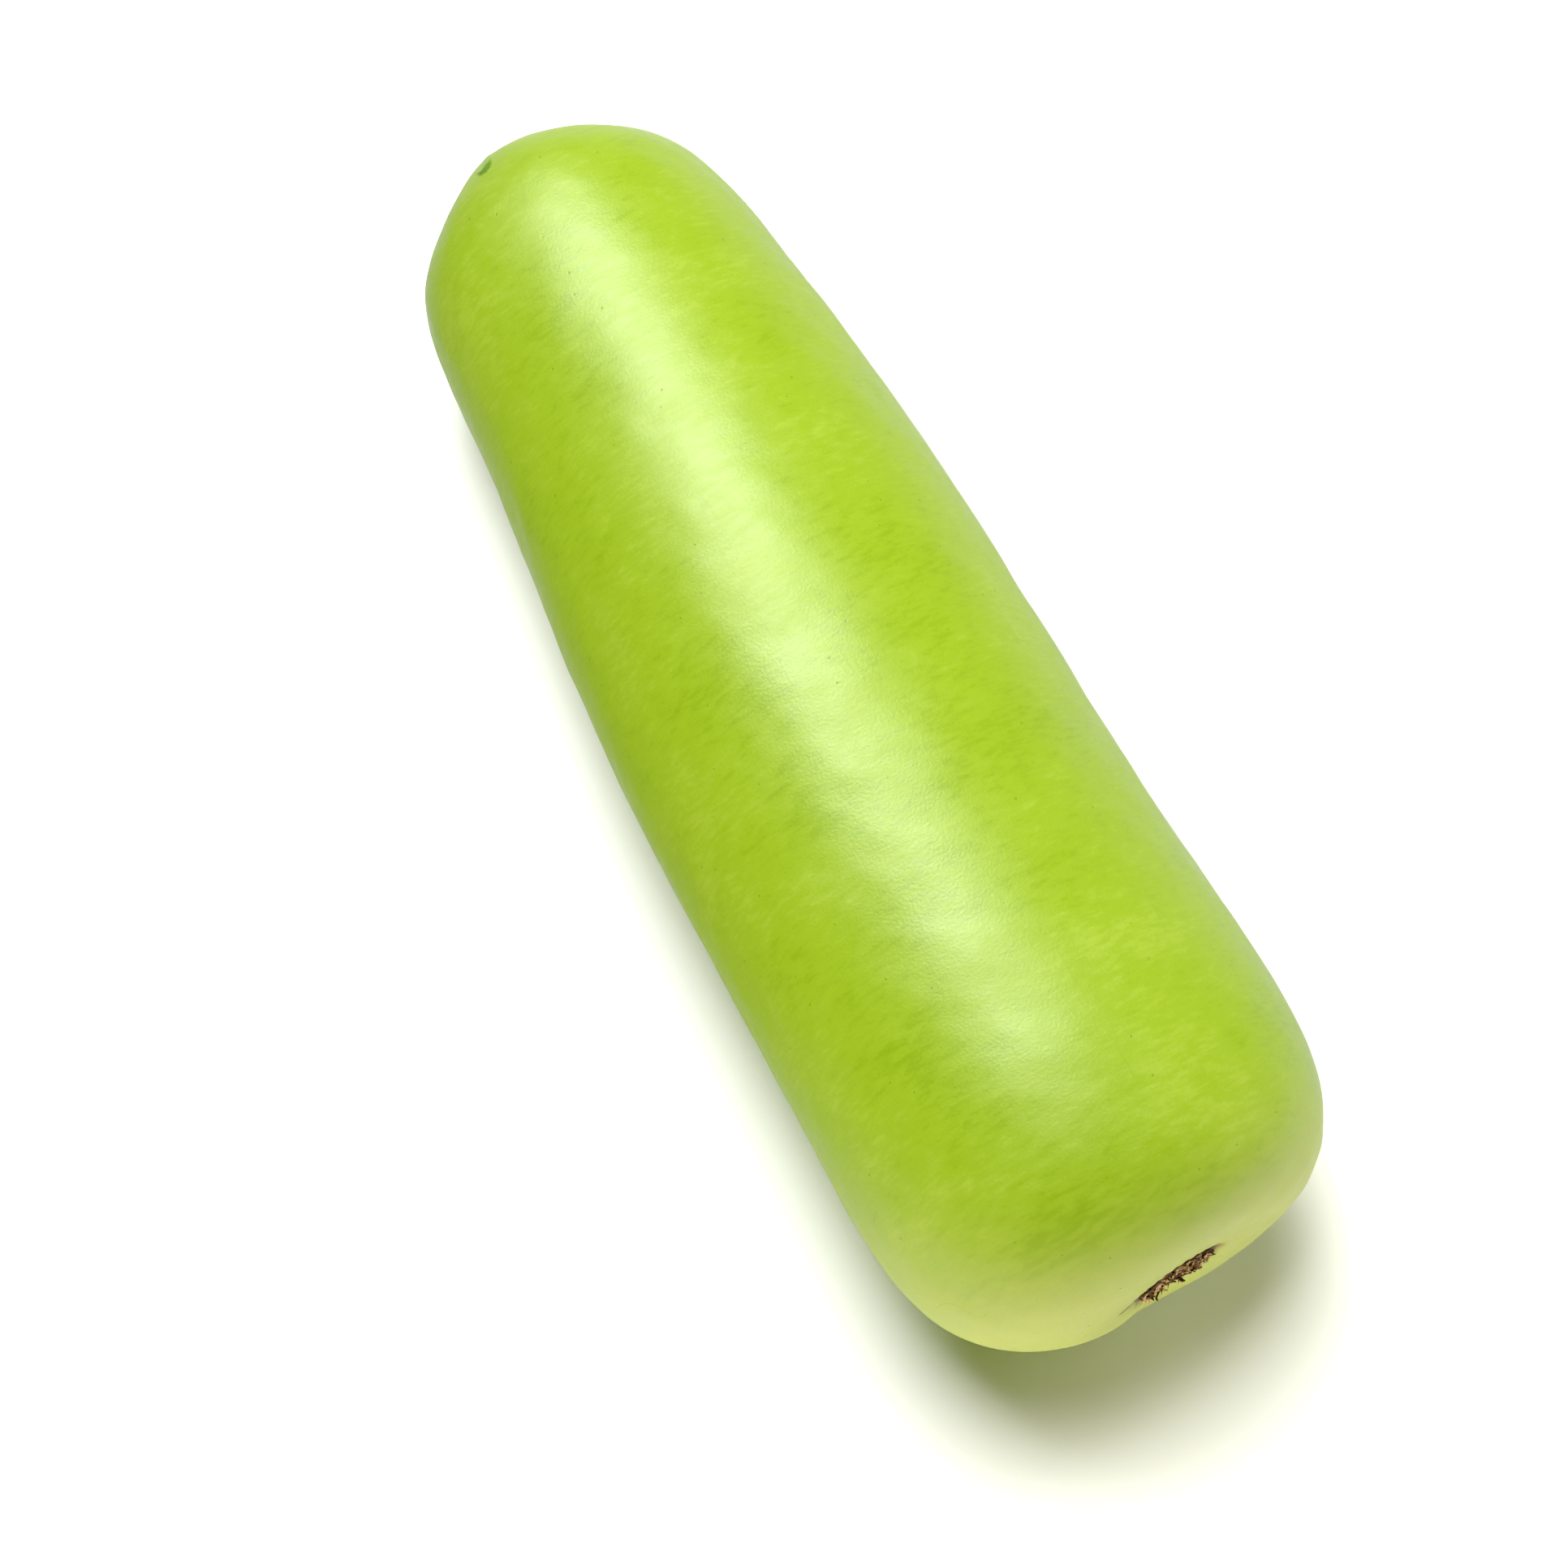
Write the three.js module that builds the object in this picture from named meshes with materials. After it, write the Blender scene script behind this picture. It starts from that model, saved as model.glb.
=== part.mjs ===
// A cylindrical bottle gourd, as picked, lying on its side.
// Units are millimetres. +X points to the blossom end, +Z is up, and the floor is z = 0.

import * as THREE from "three";

const degrees = THREE.MathUtils.degToRad;

// ---------------------------------------------------------------- driving dimensions

const SPAN = 294; // length of the fruit before its two ends are flattened and hollowed
// Radius along the fruit, blossom end first: the control radii of one smooth (Bernstein) curve.
const GIRTH = [55.7, 54.9, 39.2, 57.4, 52.6, 30.9, 41.7];
// Sideways lean of the middle line along the fruit, in the same way.
const BOW = [0, 0.9, -6.0, 8.4, 0];

// Each end rounds off as (1 - |t|^reach)^(1 / blunt): a high reach leaves the body straight for
// longer, and a high blunt makes the end flatter.
const BLOSSOM_END = { reach: 7.5, blunt: 2.03, middle: [1.7, 0.5] };
const STEM_END = { reach: 11.9, blunt: 1.9, middle: [-5.8, -4.6] };

// Blossom end: a broad flat, a low lip on one side of it, a notch in its rim, and the scar's pit.
const FLAT = { depth: 7.1, radius: 24.1 };
const LIP = { height: 1.3, radius: 19, width: 11 };
const NOTCH = { depth: 2.7, radius: 19, width: 9, halfAngle: 0.39, direction: degrees(262) };
const PIT = { depth: 1.2, radius: 11, steepness: 8 };

// Stem end: sloping shoulders, the funnel round the stem, a lower side, a knob, and five creases.
const SHOULDER = { depth: 4.1, radius: 33.2 };
const FUNNEL = { depth: 7.5, radius: 9.1 };
const LOW_SIDE = { depth: 3.5, radius: 26.6, width: 13.9, direction: degrees(221) };
const KNOB = { height: 4.4, radius: 22, width: 13, halfAngle: 0.7, direction: degrees(93) };
const CREASE = { depth: 1.9, radius: 12.5, width: 8, halfAngle: 0.2, direction: degrees(88) };
const CREASE_STRENGTHS = [1, 0.45, 0.7, 0.5, 0.6];

// Slow unevenness of the grown body: height, turns round the girth, turns along the length, start.
const SWELLS = [
  { height: 0.55, round: 2, along: 0.86, start: 1.5 },
  { height: 0.3, round: 3, along: 0.27, start: 0.93 },
  { height: 0.18, round: 5, along: 1.9, start: 4.0 },
];

// How it lies: the stem end dips a little, and the underside is pressed flat where it rests.
const DIP = degrees(1.9);
const PRESSED = 1.4;

const STEM = { radius: 4.9, length: 10.5, foot: 7.2, ridge: 0.55, ridges: 5, lean: 1.2, hollow: 0.7 };
const SCAR = { radius: 9.7, thickness: 1.1, rimHeight: 0.6, ragged: 0.45, hollow: 0.5 };
const GAP = 0.3; // clear space between two pieces that touch on the real fruit

const AROUND = 64; // points round every ring of the fruit
const RINGS = 70; // rings from end to end of the fruit
const END_CROWDING = 0.55; // how much closer the rings stand near the two ends
const SMALL_AROUND = 60; // points round the rings of the stem and the scar

// ---------------------------------------------------------------- the shape of the fruit

function bernstein(controls, s) {
  const degree = controls.length - 1;
  let sum = 0;
  let choose = 1;
  controls.forEach((control, i) => {
    sum += choose * (1 - s) ** (degree - i) * s ** i * control;
    choose = (choose * (degree - i)) / (i + 1);
  });
  return sum;
}

// 1 at no distance, falling smoothly to almost nothing at twice the width.
const bump = (distance, width) => Math.exp(-((distance / width) ** 2));

// The same in the directions round an end: 1 in the feature's own direction.
function sector(turn, feature, extraTurn = 0) {
  const off = turn - feature.direction - extraTurn;
  return bump(Math.atan2(Math.sin(off), Math.cos(off)), feature.halfAngle);
}

// How strongly the shoulder is creased in one direction round the stem: 1 at the deepest crease.
function creased(turn) {
  const step = (2 * Math.PI) / CREASE_STRENGTHS.length;
  const parts = CREASE_STRENGTHS.map((strength, k) => strength * sector(turn, CREASE, k * step));
  return parts.reduce((sum, part) => sum + part, 0);
}

// How far the blossom end is set in, toward the middle of the fruit, at one place on it.
function blossomInset(radius, turn) {
  const flat = FLAT.depth * bump(radius, FLAT.radius);
  const pit = PIT.depth / (1 + (radius / PIT.radius) ** PIT.steepness);
  const lip = -LIP.height * Math.cos(turn) * bump(radius - LIP.radius, LIP.width);
  const notch = NOTCH.depth * sector(turn, NOTCH) * bump(radius - NOTCH.radius, NOTCH.width);
  return flat + pit + notch - lip;
}

// The same for the stem end.
function stemInset(radius, turn) {
  const shoulder = SHOULDER.depth * bump(radius, SHOULDER.radius);
  const funnel = FUNNEL.depth * bump(radius, FUNNEL.radius);
  const side = Math.cos(turn - LOW_SIDE.direction) * bump(radius - LOW_SIDE.radius, LOW_SIDE.width);
  const knob = KNOB.height * sector(turn, KNOB) * bump(radius - KNOB.radius, KNOB.width);
  const crease = CREASE.depth * creased(turn) * bump(radius - CREASE.radius, CREASE.width);
  return shoulder + funnel + LOW_SIDE.depth * side + crease - knob;
}

function swell(s, turn) {
  const waves = SWELLS.map((w) => w.height * Math.sin(w.round * turn + 2 * Math.PI * w.along * s + w.start));
  return waves.reduce((sum, wave) => sum + wave, 0);
}

// One point of the skin, before the fruit is laid down. fullness is 0 on an end's middle and 1 where
// the fruit is at its full girth; t runs from -1 at the blossom end to 1 at the stem end.
function skinPoint(t, fullness, turn) {
  const end = t < 0 ? BLOSSOM_END : STEM_END;
  const s = (t + 1) / 2;
  const radius = bernstein(GIRTH, s) * fullness;
  const toMiddle = (1 - fullness ** 2) ** 2;
  const swollen = radius + swell(s, turn) * fullness ** 4;
  const inset = t < 0 ? -blossomInset(radius, turn) : stemInset(radius, turn);
  const y = bernstein(BOW, s) + end.middle[0] * toMiddle + swollen * Math.cos(turn);
  const z = end.middle[1] * toMiddle + swollen * Math.sin(turn);
  return new THREE.Vector3(SPAN * (0.5 - s) + inset, y, z);
}

// The same point found from its radius on an end, for the small pieces that sit there.
function endPoint(side, radius, turn) {
  const end = side < 0 ? BLOSSOM_END : STEM_END;
  const endRadius = side < 0 ? GIRTH[0] : GIRTH[GIRTH.length - 1];
  const fullness = radius / endRadius;
  const t = side * (1 - fullness ** end.blunt) ** (1 / end.reach);
  return skinPoint(t, fullness, turn);
}

// Rings of the skin from the blossom end to the stem end, with a single point at each end.
function skinRings(ringCount, around) {
  const rings = [];
  for (let i = 0; i <= ringCount; i += 1) {
    const v = i / ringCount;
    const angle = Math.PI * (v - (END_CROWDING * Math.sin(2 * Math.PI * v)) / (2 * Math.PI));
    const t = -Math.cos(angle);
    const end = t < 0 ? BLOSSOM_END : STEM_END;
    const fullness = Math.max(0, 1 - Math.abs(t) ** end.reach) ** (1 / end.blunt);
    const atTip = i === 0 || i === ringCount;
    rings.push(ring(atTip ? 1 : around, (turn) => skinPoint(t, fullness, turn)));
  }
  return rings;
}

// ---------------------------------------------------------------- laying the fruit down

// Turns a point by the dip, sets it on the floor and centres it.
function layDown(point, offset) {
  const turned = point.clone().applyAxisAngle(new THREE.Vector3(0, 1, 0), -DIP);
  return turned.sub(offset);
}

// The offset that puts the fruit's underside PRESSED below the floor and its middle on the Z axis.
function findOffset(rings) {
  const box = new THREE.Box3();
  rings.flat().forEach((point) => box.expandByPoint(layDown(point, new THREE.Vector3())));
  const middle = box.getCenter(new THREE.Vector3());
  return new THREE.Vector3(middle.x, middle.y, box.min.z + PRESSED);
}

// ---------------------------------------------------------------- building meshes from rings

function ring(count, pointAt) {
  return Array.from({ length: count }, (_, j) => pointAt((2 * Math.PI * j) / count));
}

// Joins rings into one closed surface. The first and the last ring are single points.
function closedSurface(rings) {
  const around = rings[1].length;
  const positions = rings.flat().flatMap((point) => point.toArray());
  const starts = [];
  rings.reduce((start, points) => {
    starts.push(start);
    return start + points.length;
  }, 0);
  const faces = [];
  const last = rings.length - 1;
  for (let j = 0; j < around; j += 1) {
    const next = (j + 1) % around;
    faces.push(0, starts[1] + j, starts[1] + next);
    faces.push(starts[last], starts[last - 1] + next, starts[last - 1] + j);
    for (let i = 1; i < last - 1; i += 1) {
      const near = starts[i];
      const far = starts[i + 1];
      faces.push(near + j, far + j, far + next);
      faces.push(near + j, far + next, near + next);
    }
  }
  const geometry = new THREE.BufferGeometry();
  geometry.setAttribute("position", new THREE.Float32BufferAttribute(positions, 3));
  geometry.setIndex(faces);
  geometry.computeVertexNormals();
  return geometry;
}

function piece(name, geometry, look) {
  const mesh = new THREE.Mesh(geometry, new THREE.MeshStandardMaterial({ metalness: 0, ...look }));
  mesh.name = name;
  return mesh;
}

// ---------------------------------------------------------------- the pieces

const looseRings = skinRings(RINGS, AROUND);
const offset = findOffset(looseRings);
const lay = (point) => layDown(point, offset);

function makeFruit() {
  const rings = looseRings.map((points) => points.map(lay));
  rings.flat().forEach((point) => {
    point.z = Math.max(point.z, 0);
  });
  return piece("gourd_fruit", closedSurface(rings), { color: 0x9cc43a, roughness: 0.42 });
}

// A short cut stem with rounded ridges and a spreading foot, standing on the floor of the funnel.
function makeStem() {
  const ridged = (turn) => 1 + (STEM.ridge / STEM.radius) * Math.cos(STEM.ridges * turn);
  const onFloor = (radius) => (turn) => {
    const point = endPoint(1, radius * ridged(turn), turn);
    point.x -= GAP;
    return point;
  };
  const base = endPoint(1, 0, 0);
  // height runs from 0 at the floor to 1 at the cut.
  const onSide = (height, radius) => (turn) => {
    const foot = onFloor(STEM.foot)(turn);
    const reach = radius * ridged(turn);
    const top = new THREE.Vector3(
      base.x - STEM.length,
      base.y + STEM.lean + reach * Math.cos(turn),
      base.z + reach * Math.sin(turn),
    );
    const sideways = 1 - (1 - height) ** 3;
    return new THREE.Vector3(
      THREE.MathUtils.lerp(foot.x, top.x, height),
      THREE.MathUtils.lerp(foot.y, top.y, sideways),
      THREE.MathUtils.lerp(foot.z, top.z, sideways),
    );
  };
  const onCut = (radius) => (turn) => {
    const rim = onSide(1, radius)(turn);
    rim.x += STEM.hollow * (1 - radius / STEM.radius);
    return rim;
  };
  const rings = [
    ring(1, onFloor(0)),
    ...[2, 4, 5.6, STEM.foot].map((radius) => ring(SMALL_AROUND, onFloor(radius))),
    ...[0.05, 0.12, 0.22, 0.35, 0.5, 0.66, 0.82, 0.95].map((height) =>
      ring(SMALL_AROUND, onSide(height, STEM.radius)),
    ),
    ring(SMALL_AROUND, onCut(STEM.radius * 0.95)),
    ...[0.75, 0.5, 0.25].map((share) => ring(SMALL_AROUND, onCut(STEM.radius * share))),
    ring(1, onCut(0)),
  ].map((points) => points.map(lay));
  return piece("stem_stub", closedSurface(rings), { color: 0x7f9440, roughness: 0.8 });
}

// The corky scar where the flower fell off: a thin plate in the pit, with a raised ragged rim.
function makeScar() {
  const edge = (turn) => {
    const slow = Math.sin(5 * turn + 0.7) + 0.6 * Math.sin(8 * turn + 2.9);
    const quick = 0.7 * Math.sin(13 * turn + 1.3) + 0.5 * Math.sin(21 * turn);
    return SCAR.radius + (SCAR.ragged / 2) * (slow + quick);
  };
  const underside = (share) => (turn) => {
    const point = endPoint(-1, share * edge(turn), turn);
    point.x += GAP;
    return point;
  };
  const face = (share) => (turn) => {
    const point = underside(share)(turn);
    const rim = SCAR.rimHeight * bump(share - 0.9, 0.12) * (1 + 0.4 * Math.sin(9 * turn + 1));
    const grain = 0.12 * Math.sin(17 * share + 3 * turn) * share;
    point.x += SCAR.thickness - SCAR.hollow * (1 - share) + rim + grain;
    return point;
  };
  const rings = [
    ring(1, face(0)),
    ...[0.15, 0.3, 0.45, 0.6, 0.72, 0.82, 0.9, 0.96].map((share) => ring(SMALL_AROUND, face(share))),
    ...[1, 0.96, 0.75, 0.5, 0.25].map((share) => ring(SMALL_AROUND, underside(share))),
    ring(1, underside(0)),
  ].map((points) => points.map(lay));
  return piece("blossom_scar", closedSurface(rings), { color: 0x6f5130, roughness: 0.9 });
}

const group = new THREE.Group();
group.name = "bottle_gourd";
group.add(makeFruit(), makeStem(), makeScar());

export default group;
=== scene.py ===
"""Finishes a cylindrical bottle gourd that lies on its side: its skin, cut stem and blossom scar.

Lengths are in metres. +X points to the blossom end, +Z is up, and the floor is z = 0.
Every new piece is worked out with numpy from formulas, as a closed grid of points or as strands.
"""

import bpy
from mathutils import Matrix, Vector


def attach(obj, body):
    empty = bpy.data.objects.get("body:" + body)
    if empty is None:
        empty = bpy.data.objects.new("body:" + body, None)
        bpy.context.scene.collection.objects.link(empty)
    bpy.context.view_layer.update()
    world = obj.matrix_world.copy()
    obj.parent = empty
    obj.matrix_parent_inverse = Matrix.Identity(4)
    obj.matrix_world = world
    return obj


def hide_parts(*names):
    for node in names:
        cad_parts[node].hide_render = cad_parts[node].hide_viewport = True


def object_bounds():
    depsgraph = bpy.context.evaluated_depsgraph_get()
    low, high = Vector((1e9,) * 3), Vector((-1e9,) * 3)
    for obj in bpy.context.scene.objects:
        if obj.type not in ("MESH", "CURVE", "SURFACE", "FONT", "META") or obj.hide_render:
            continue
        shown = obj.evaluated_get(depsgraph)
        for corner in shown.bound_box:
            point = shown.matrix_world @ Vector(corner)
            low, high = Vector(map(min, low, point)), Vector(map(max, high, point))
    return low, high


bl_info = {
    "name": "Bottle Gourd Finish",
    "version": (1, 0, 0),
    "blender": (4, 5, 0),
    "location": "3D View > Sidebar > Gourd",
    "description": "Builds the skin, the cut stem, the blossom scar and the stage of a bottle gourd",
    "category": "Object",
}

import math

import bpy
import numpy as np
from bpy.props import FloatProperty, FloatVectorProperty, IntProperty, PointerProperty
from bpy.types import Operator, Panel, PropertyGroup
from mathutils import Quaternion, Vector

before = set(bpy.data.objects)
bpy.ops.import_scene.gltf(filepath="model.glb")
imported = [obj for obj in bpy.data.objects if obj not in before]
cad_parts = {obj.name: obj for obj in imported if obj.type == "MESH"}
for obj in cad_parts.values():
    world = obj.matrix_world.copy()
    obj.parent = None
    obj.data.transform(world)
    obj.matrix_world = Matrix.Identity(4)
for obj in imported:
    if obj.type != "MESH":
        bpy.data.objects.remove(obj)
CAD_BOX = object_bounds()

BODY = "root"
MM = 0.001
FULL_TURN = 2 * math.pi
TINY = 1e-12  # keeps a division by a length of nothing in bounds
ASKEW = (0.31, 0.87, 0.39)  # a direction that no strand runs along
EACH = (slice(None), None, None)  # spreads one value for each strand over its steps and axes
TO_BLOSSOM = np.array([1.0, 0.0, 0.0])

# ---------------- the grown shape of the fruit

SPAN = 294 * MM  # length before the two ends are flattened and hollowed
# Radius along the fruit, blossom end first: the control radii of one smooth (Bernstein) curve.
GIRTH = np.array([55.7, 54.9, 39.2, 57.4, 52.6, 30.9, 41.7]) * MM
# Sideways lean of the middle line along the fruit, in the same way.
BOW = np.array([0, 0.9, -6.0, 8.4, 0]) * MM

# Each end rounds off as (1 - |t|^reach)^(1 / blunt), and its rings draw together on its middle.
BLOSSOM_END = {"reach": 7.5, "blunt": 2.03, "middle": (1.7 * MM, 0.5 * MM)}
STEM_END = {"reach": 11.9, "blunt": 1.9, "middle": (-5.8 * MM, -4.6 * MM)}

# Blossom end: a broad flat, its lip (raised on one side and low on the other), a notch in its rim,
# and the scar's pit.
FLAT = {"depth": 7.1 * MM, "radius": 24.1 * MM}
LIP = {"height": 1.3 * MM, "radius": 19 * MM, "width": 11 * MM}
NOTCH = {"depth": 2.7 * MM, "radius": 19 * MM, "width": 9 * MM, "half_angle": 0.39, "direction": 262}
PIT = {"depth": 1.2 * MM, "radius": 11 * MM, "steepness": 8}

# Stem end: sloping shoulders, the funnel round the stem, a lower side, a knob, and five creases.
SHOULDER = {"depth": 4.1 * MM, "radius": 33.2 * MM}
FUNNEL = {"depth": 7.5 * MM, "radius": 9.1 * MM}
LOW_SIDE = {"depth": 3.5 * MM, "radius": 26.6 * MM, "width": 13.9 * MM, "direction": 221}
KNOB = {"height": 4.4 * MM, "radius": 22 * MM, "width": 13 * MM, "half_angle": 0.7, "direction": 93}
CREASE = {"depth": 1.9 * MM, "radius": 12.5 * MM, "width": 8 * MM, "half_angle": 0.2, "direction": 88}
CREASE_STRENGTHS = (1, 0.45, 0.7, 0.5, 0.6)

# Slow unevenness of the body: height, waves round the girth, waves along the length, start.
SWELLS = (
    (0.55 * MM, 2, 0.86, 1.5),
    (0.3 * MM, 3, 0.27, 0.93),
    (0.18 * MM, 5, 1.9, 4.0),
)

# How it lies: the stem end dips a little, and the underside is pressed flat where it rests.
DIP = math.radians(1.9)
PRESSED = 1.4 * MM

END_CROWDING = 0.55  # how much closer the rings of the skin stand near the two ends
MEASURED_GRID = (240, 180)  # rings, and points round each, of the grid that the offset is found on
GAP = 0.3 * MM  # clear space between two pieces that touch on the real fruit


def bernstein(controls, s):
    """Weighted sum of the controls, with the binomial weights of a smooth curve, at s from 0 to 1."""
    degree = len(controls) - 1
    weights = [math.comb(degree, i) * (1 - s) ** (degree - i) * s**i for i in range(degree + 1)]
    return sum(weight * control for weight, control in zip(weights, controls))


def bump(distance, width):
    """exp(-(distance / width)^2): 1 at no distance and almost nothing at twice the width."""
    return np.exp(-((distance / width) ** 2))


def turn_between(turn, degrees):
    """Signed turn from a direction in degrees to the given turn, between half turns either way."""
    off = turn - np.radians(degrees)
    return np.arctan2(np.sin(off), np.cos(off))


def sector(turn, feature, extra=0.0):
    """1 in the feature's own direction round an end, fading over its half angle."""
    return bump(turn_between(turn, feature["direction"] + extra), feature["half_angle"])


def creased(turn):
    """How strongly the shoulder is creased in each direction round the stem."""
    step = 360 / len(CREASE_STRENGTHS)
    return sum(strength * sector(turn, CREASE, k * step) for k, strength in enumerate(CREASE_STRENGTHS))


def blossom_inset(radius, turn):
    """How far the blossom end is set in: flat + pit + notch - lip. The pit is its depth divided by
    1 + (radius / the pit's radius)^steepness, and the others are bumps in the radius."""
    flat = FLAT["depth"] * bump(radius, FLAT["radius"])
    pit = PIT["depth"] / (1 + (radius / PIT["radius"]) ** PIT["steepness"])
    lip = -LIP["height"] * np.cos(turn) * bump(radius - LIP["radius"], LIP["width"])
    notch = NOTCH["depth"] * sector(turn, NOTCH) * bump(radius - NOTCH["radius"], NOTCH["width"])
    return flat + pit + notch - lip


def stem_inset(radius, turn):
    """How far the stem end is set in: shoulder + funnel + low side + creases - knob, each a bump in
    the radius."""
    shoulder = SHOULDER["depth"] * bump(radius, SHOULDER["radius"])
    funnel = FUNNEL["depth"] * bump(radius, FUNNEL["radius"])
    toward_low = np.cos(turn_between(turn, LOW_SIDE["direction"]))
    low_side = LOW_SIDE["depth"] * toward_low * bump(radius - LOW_SIDE["radius"], LOW_SIDE["width"])
    knob = KNOB["height"] * sector(turn, KNOB) * bump(radius - KNOB["radius"], KNOB["width"])
    crease = CREASE["depth"] * creased(turn) * bump(radius - CREASE["radius"], CREASE["width"])
    return shoulder + funnel + low_side + crease - knob


def swell(s, turn):
    """Sum of slow waves round the girth and along the length."""
    return sum(h * np.sin(n * turn + FULL_TURN * k * s + start) for h, n, k, start in SWELLS)


def choose(at_blossom, blossom_value, stem_value):
    """The first value on the blossom end's half of the fruit and the second on the stem's half."""
    return np.where(at_blossom, blossom_value, stem_value)


def skin_point(t, fullness, turn):
    """Points of the skin before the fruit is laid down, as an array with x, y, z last.

    t runs from -1 at the blossom end to 1 at the stem end, and fullness from 0 on an end's middle
    to 1 at full girth. The radius is the girth curve times the fullness, plus the swells.
    """
    t, fullness, turn = np.broadcast_arrays(t, fullness, turn)
    at_blossom = t < 0
    s = (t + 1) / 2
    radius = bernstein(GIRTH, s) * fullness
    to_middle = (1 - fullness**2) ** 2
    swollen = radius + swell(s, turn) * fullness**4
    inset = choose(at_blossom, -blossom_inset(radius, turn), stem_inset(radius, turn))
    middle = [choose(at_blossom, BLOSSOM_END["middle"][i], STEM_END["middle"][i]) for i in (0, 1)]
    x = SPAN * (0.5 - s) + inset
    y = bernstein(BOW, s) + middle[0] * to_middle + swollen * np.cos(turn)
    z = middle[1] * to_middle + swollen * np.sin(turn)
    return np.stack([x, y, z], axis=-1)


def end_point(side, radius, turn):
    """Points of the skin at a radius round the middle of an end. side is -1 for the blossom end."""
    end = BLOSSOM_END if side < 0 else STEM_END
    fullness = radius / (GIRTH[0] if side < 0 else GIRTH[-1])
    t = side * (1 - fullness ** end["blunt"]) ** (1 / end["reach"])
    return skin_point(t, fullness, turn)


def turns(count):
    """Evenly spaced turns round a full ring."""
    return np.linspace(0, FULL_TURN, count, endpoint=False)


def skin_grid(rings, around):
    """t, fullness and turn of a grid from the blossom end to the stem end."""
    v = np.linspace(0, 1, rings)[:, None]
    angle = math.pi * (v - END_CROWDING * np.sin(FULL_TURN * v) / FULL_TURN)
    t = -np.cos(angle)
    reach = choose(t < 0, BLOSSOM_END["reach"], STEM_END["reach"])
    blunt = choose(t < 0, BLOSSOM_END["blunt"], STEM_END["blunt"])
    fullness = np.clip(1 - np.abs(t) ** reach, 0, 1) ** (1 / blunt)
    turn = turns(around)[None, :]
    return np.broadcast_arrays(t, fullness, turn)


def dipped(points):
    """The points turned about the Y axis, so that the stem end dips."""
    x, y, z = np.moveaxis(points, -1, 0)
    turned = (x * math.cos(DIP) - z * math.sin(DIP), y, x * math.sin(DIP) + z * math.cos(DIP))
    return np.stack(turned, axis=-1)


def find_offset():
    """The offset that presses the underside below the floor and centres the fruit's box."""
    points = dipped(skin_point(*skin_grid(*MEASURED_GRID))).reshape(-1, 3)
    low, high = points.min(axis=0), points.max(axis=0)
    return np.array([(low[0] + high[0]) / 2, (low[1] + high[1]) / 2, low[2] + PRESSED])


OFFSET = find_offset()


def lay(points):
    """The points in their place on the floor."""
    return dipped(points) - OFFSET


# ---------------- numpy helpers


def drift(points, size, seed, waves=14):
    """Smooth noise, about -1 to 1: a scaled sum of sine waves in random directions, near one size."""
    rng = np.random.default_rng(seed)
    directions = unit(rng.normal(size=(waves, 3)))
    lengths = size * rng.uniform(0.7, 1.6, waves)
    starts = rng.uniform(0, FULL_TURN, waves)
    phases = points @ (directions / lengths[:, None]).T * FULL_TURN + starts
    return np.sin(phases).sum(axis=-1) / math.sqrt(waves) / 1.6


def smooth_step(low, high, value):
    """0 below low and 1 above high, with a smooth rise between them."""
    share = np.clip((value - low) / (high - low), 0, 1)
    return share * share * (3 - 2 * share)


def unit(vectors):
    """The vectors, each divided by its own length."""
    return vectors / np.maximum(np.linalg.norm(vectors, axis=-1, keepdims=True), TINY)


def spoke(turn):
    """Unit directions across the fruit, each at its own turn."""
    return np.stack([0 * turn, np.cos(turn), np.sin(turn)], axis=-1)


def grid_normals(points):
    """Outward normals of a closed grid of rings, from the cross product of its two directions."""
    along = np.gradient(points, axis=0)
    wrapped = np.concatenate([points[:, -1:], points, points[:, :1]], axis=1)
    around = (wrapped[:, 2:] - wrapped[:, :-2]) / 2
    return unit(np.cross(around, along))


def ring_order(grid):
    """A grid's values in vertex order: one for each pole and all of those between."""
    tail = grid.shape[2:]
    return np.concatenate([grid[0, :1], grid[1:-1].reshape(-1, *tail), grid[-1, :1]])


def smooth_mesh(name, vertices, faces):
    """A smooth-shaded mesh from its vertices and faces."""
    mesh = bpy.data.meshes.new(name)
    mesh.from_pydata(vertices.tolist(), [], faces)
    mesh.polygons.foreach_set("use_smooth", np.ones(len(mesh.polygons), dtype=bool))
    return mesh


def closed_grid_mesh(name, points):
    """A closed surface from rings of points. The first and last rings are each one point."""
    rings, around = points.shape[:2]
    vertices = ring_order(points)
    j = np.arange(around)
    following = (j + 1) % around
    starts = 1 + around * np.arange(rings - 3)[:, None]
    corners = [starts + j, starts + around + j, starts + around + following, starts + following]
    quads = np.stack(corners, axis=-1).reshape(-1, 4)
    last_ring = 1 + around * (rings - 3)
    first_cap = np.stack([np.zeros_like(j), 1 + j, 1 + following], axis=-1)
    last_pole = np.full_like(j, len(vertices) - 1)
    last_cap = np.stack([last_pole, last_ring + following, last_ring + j], axis=-1)
    return smooth_mesh(name, vertices, quads.tolist() + first_cap.tolist() + last_cap.tolist())


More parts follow.
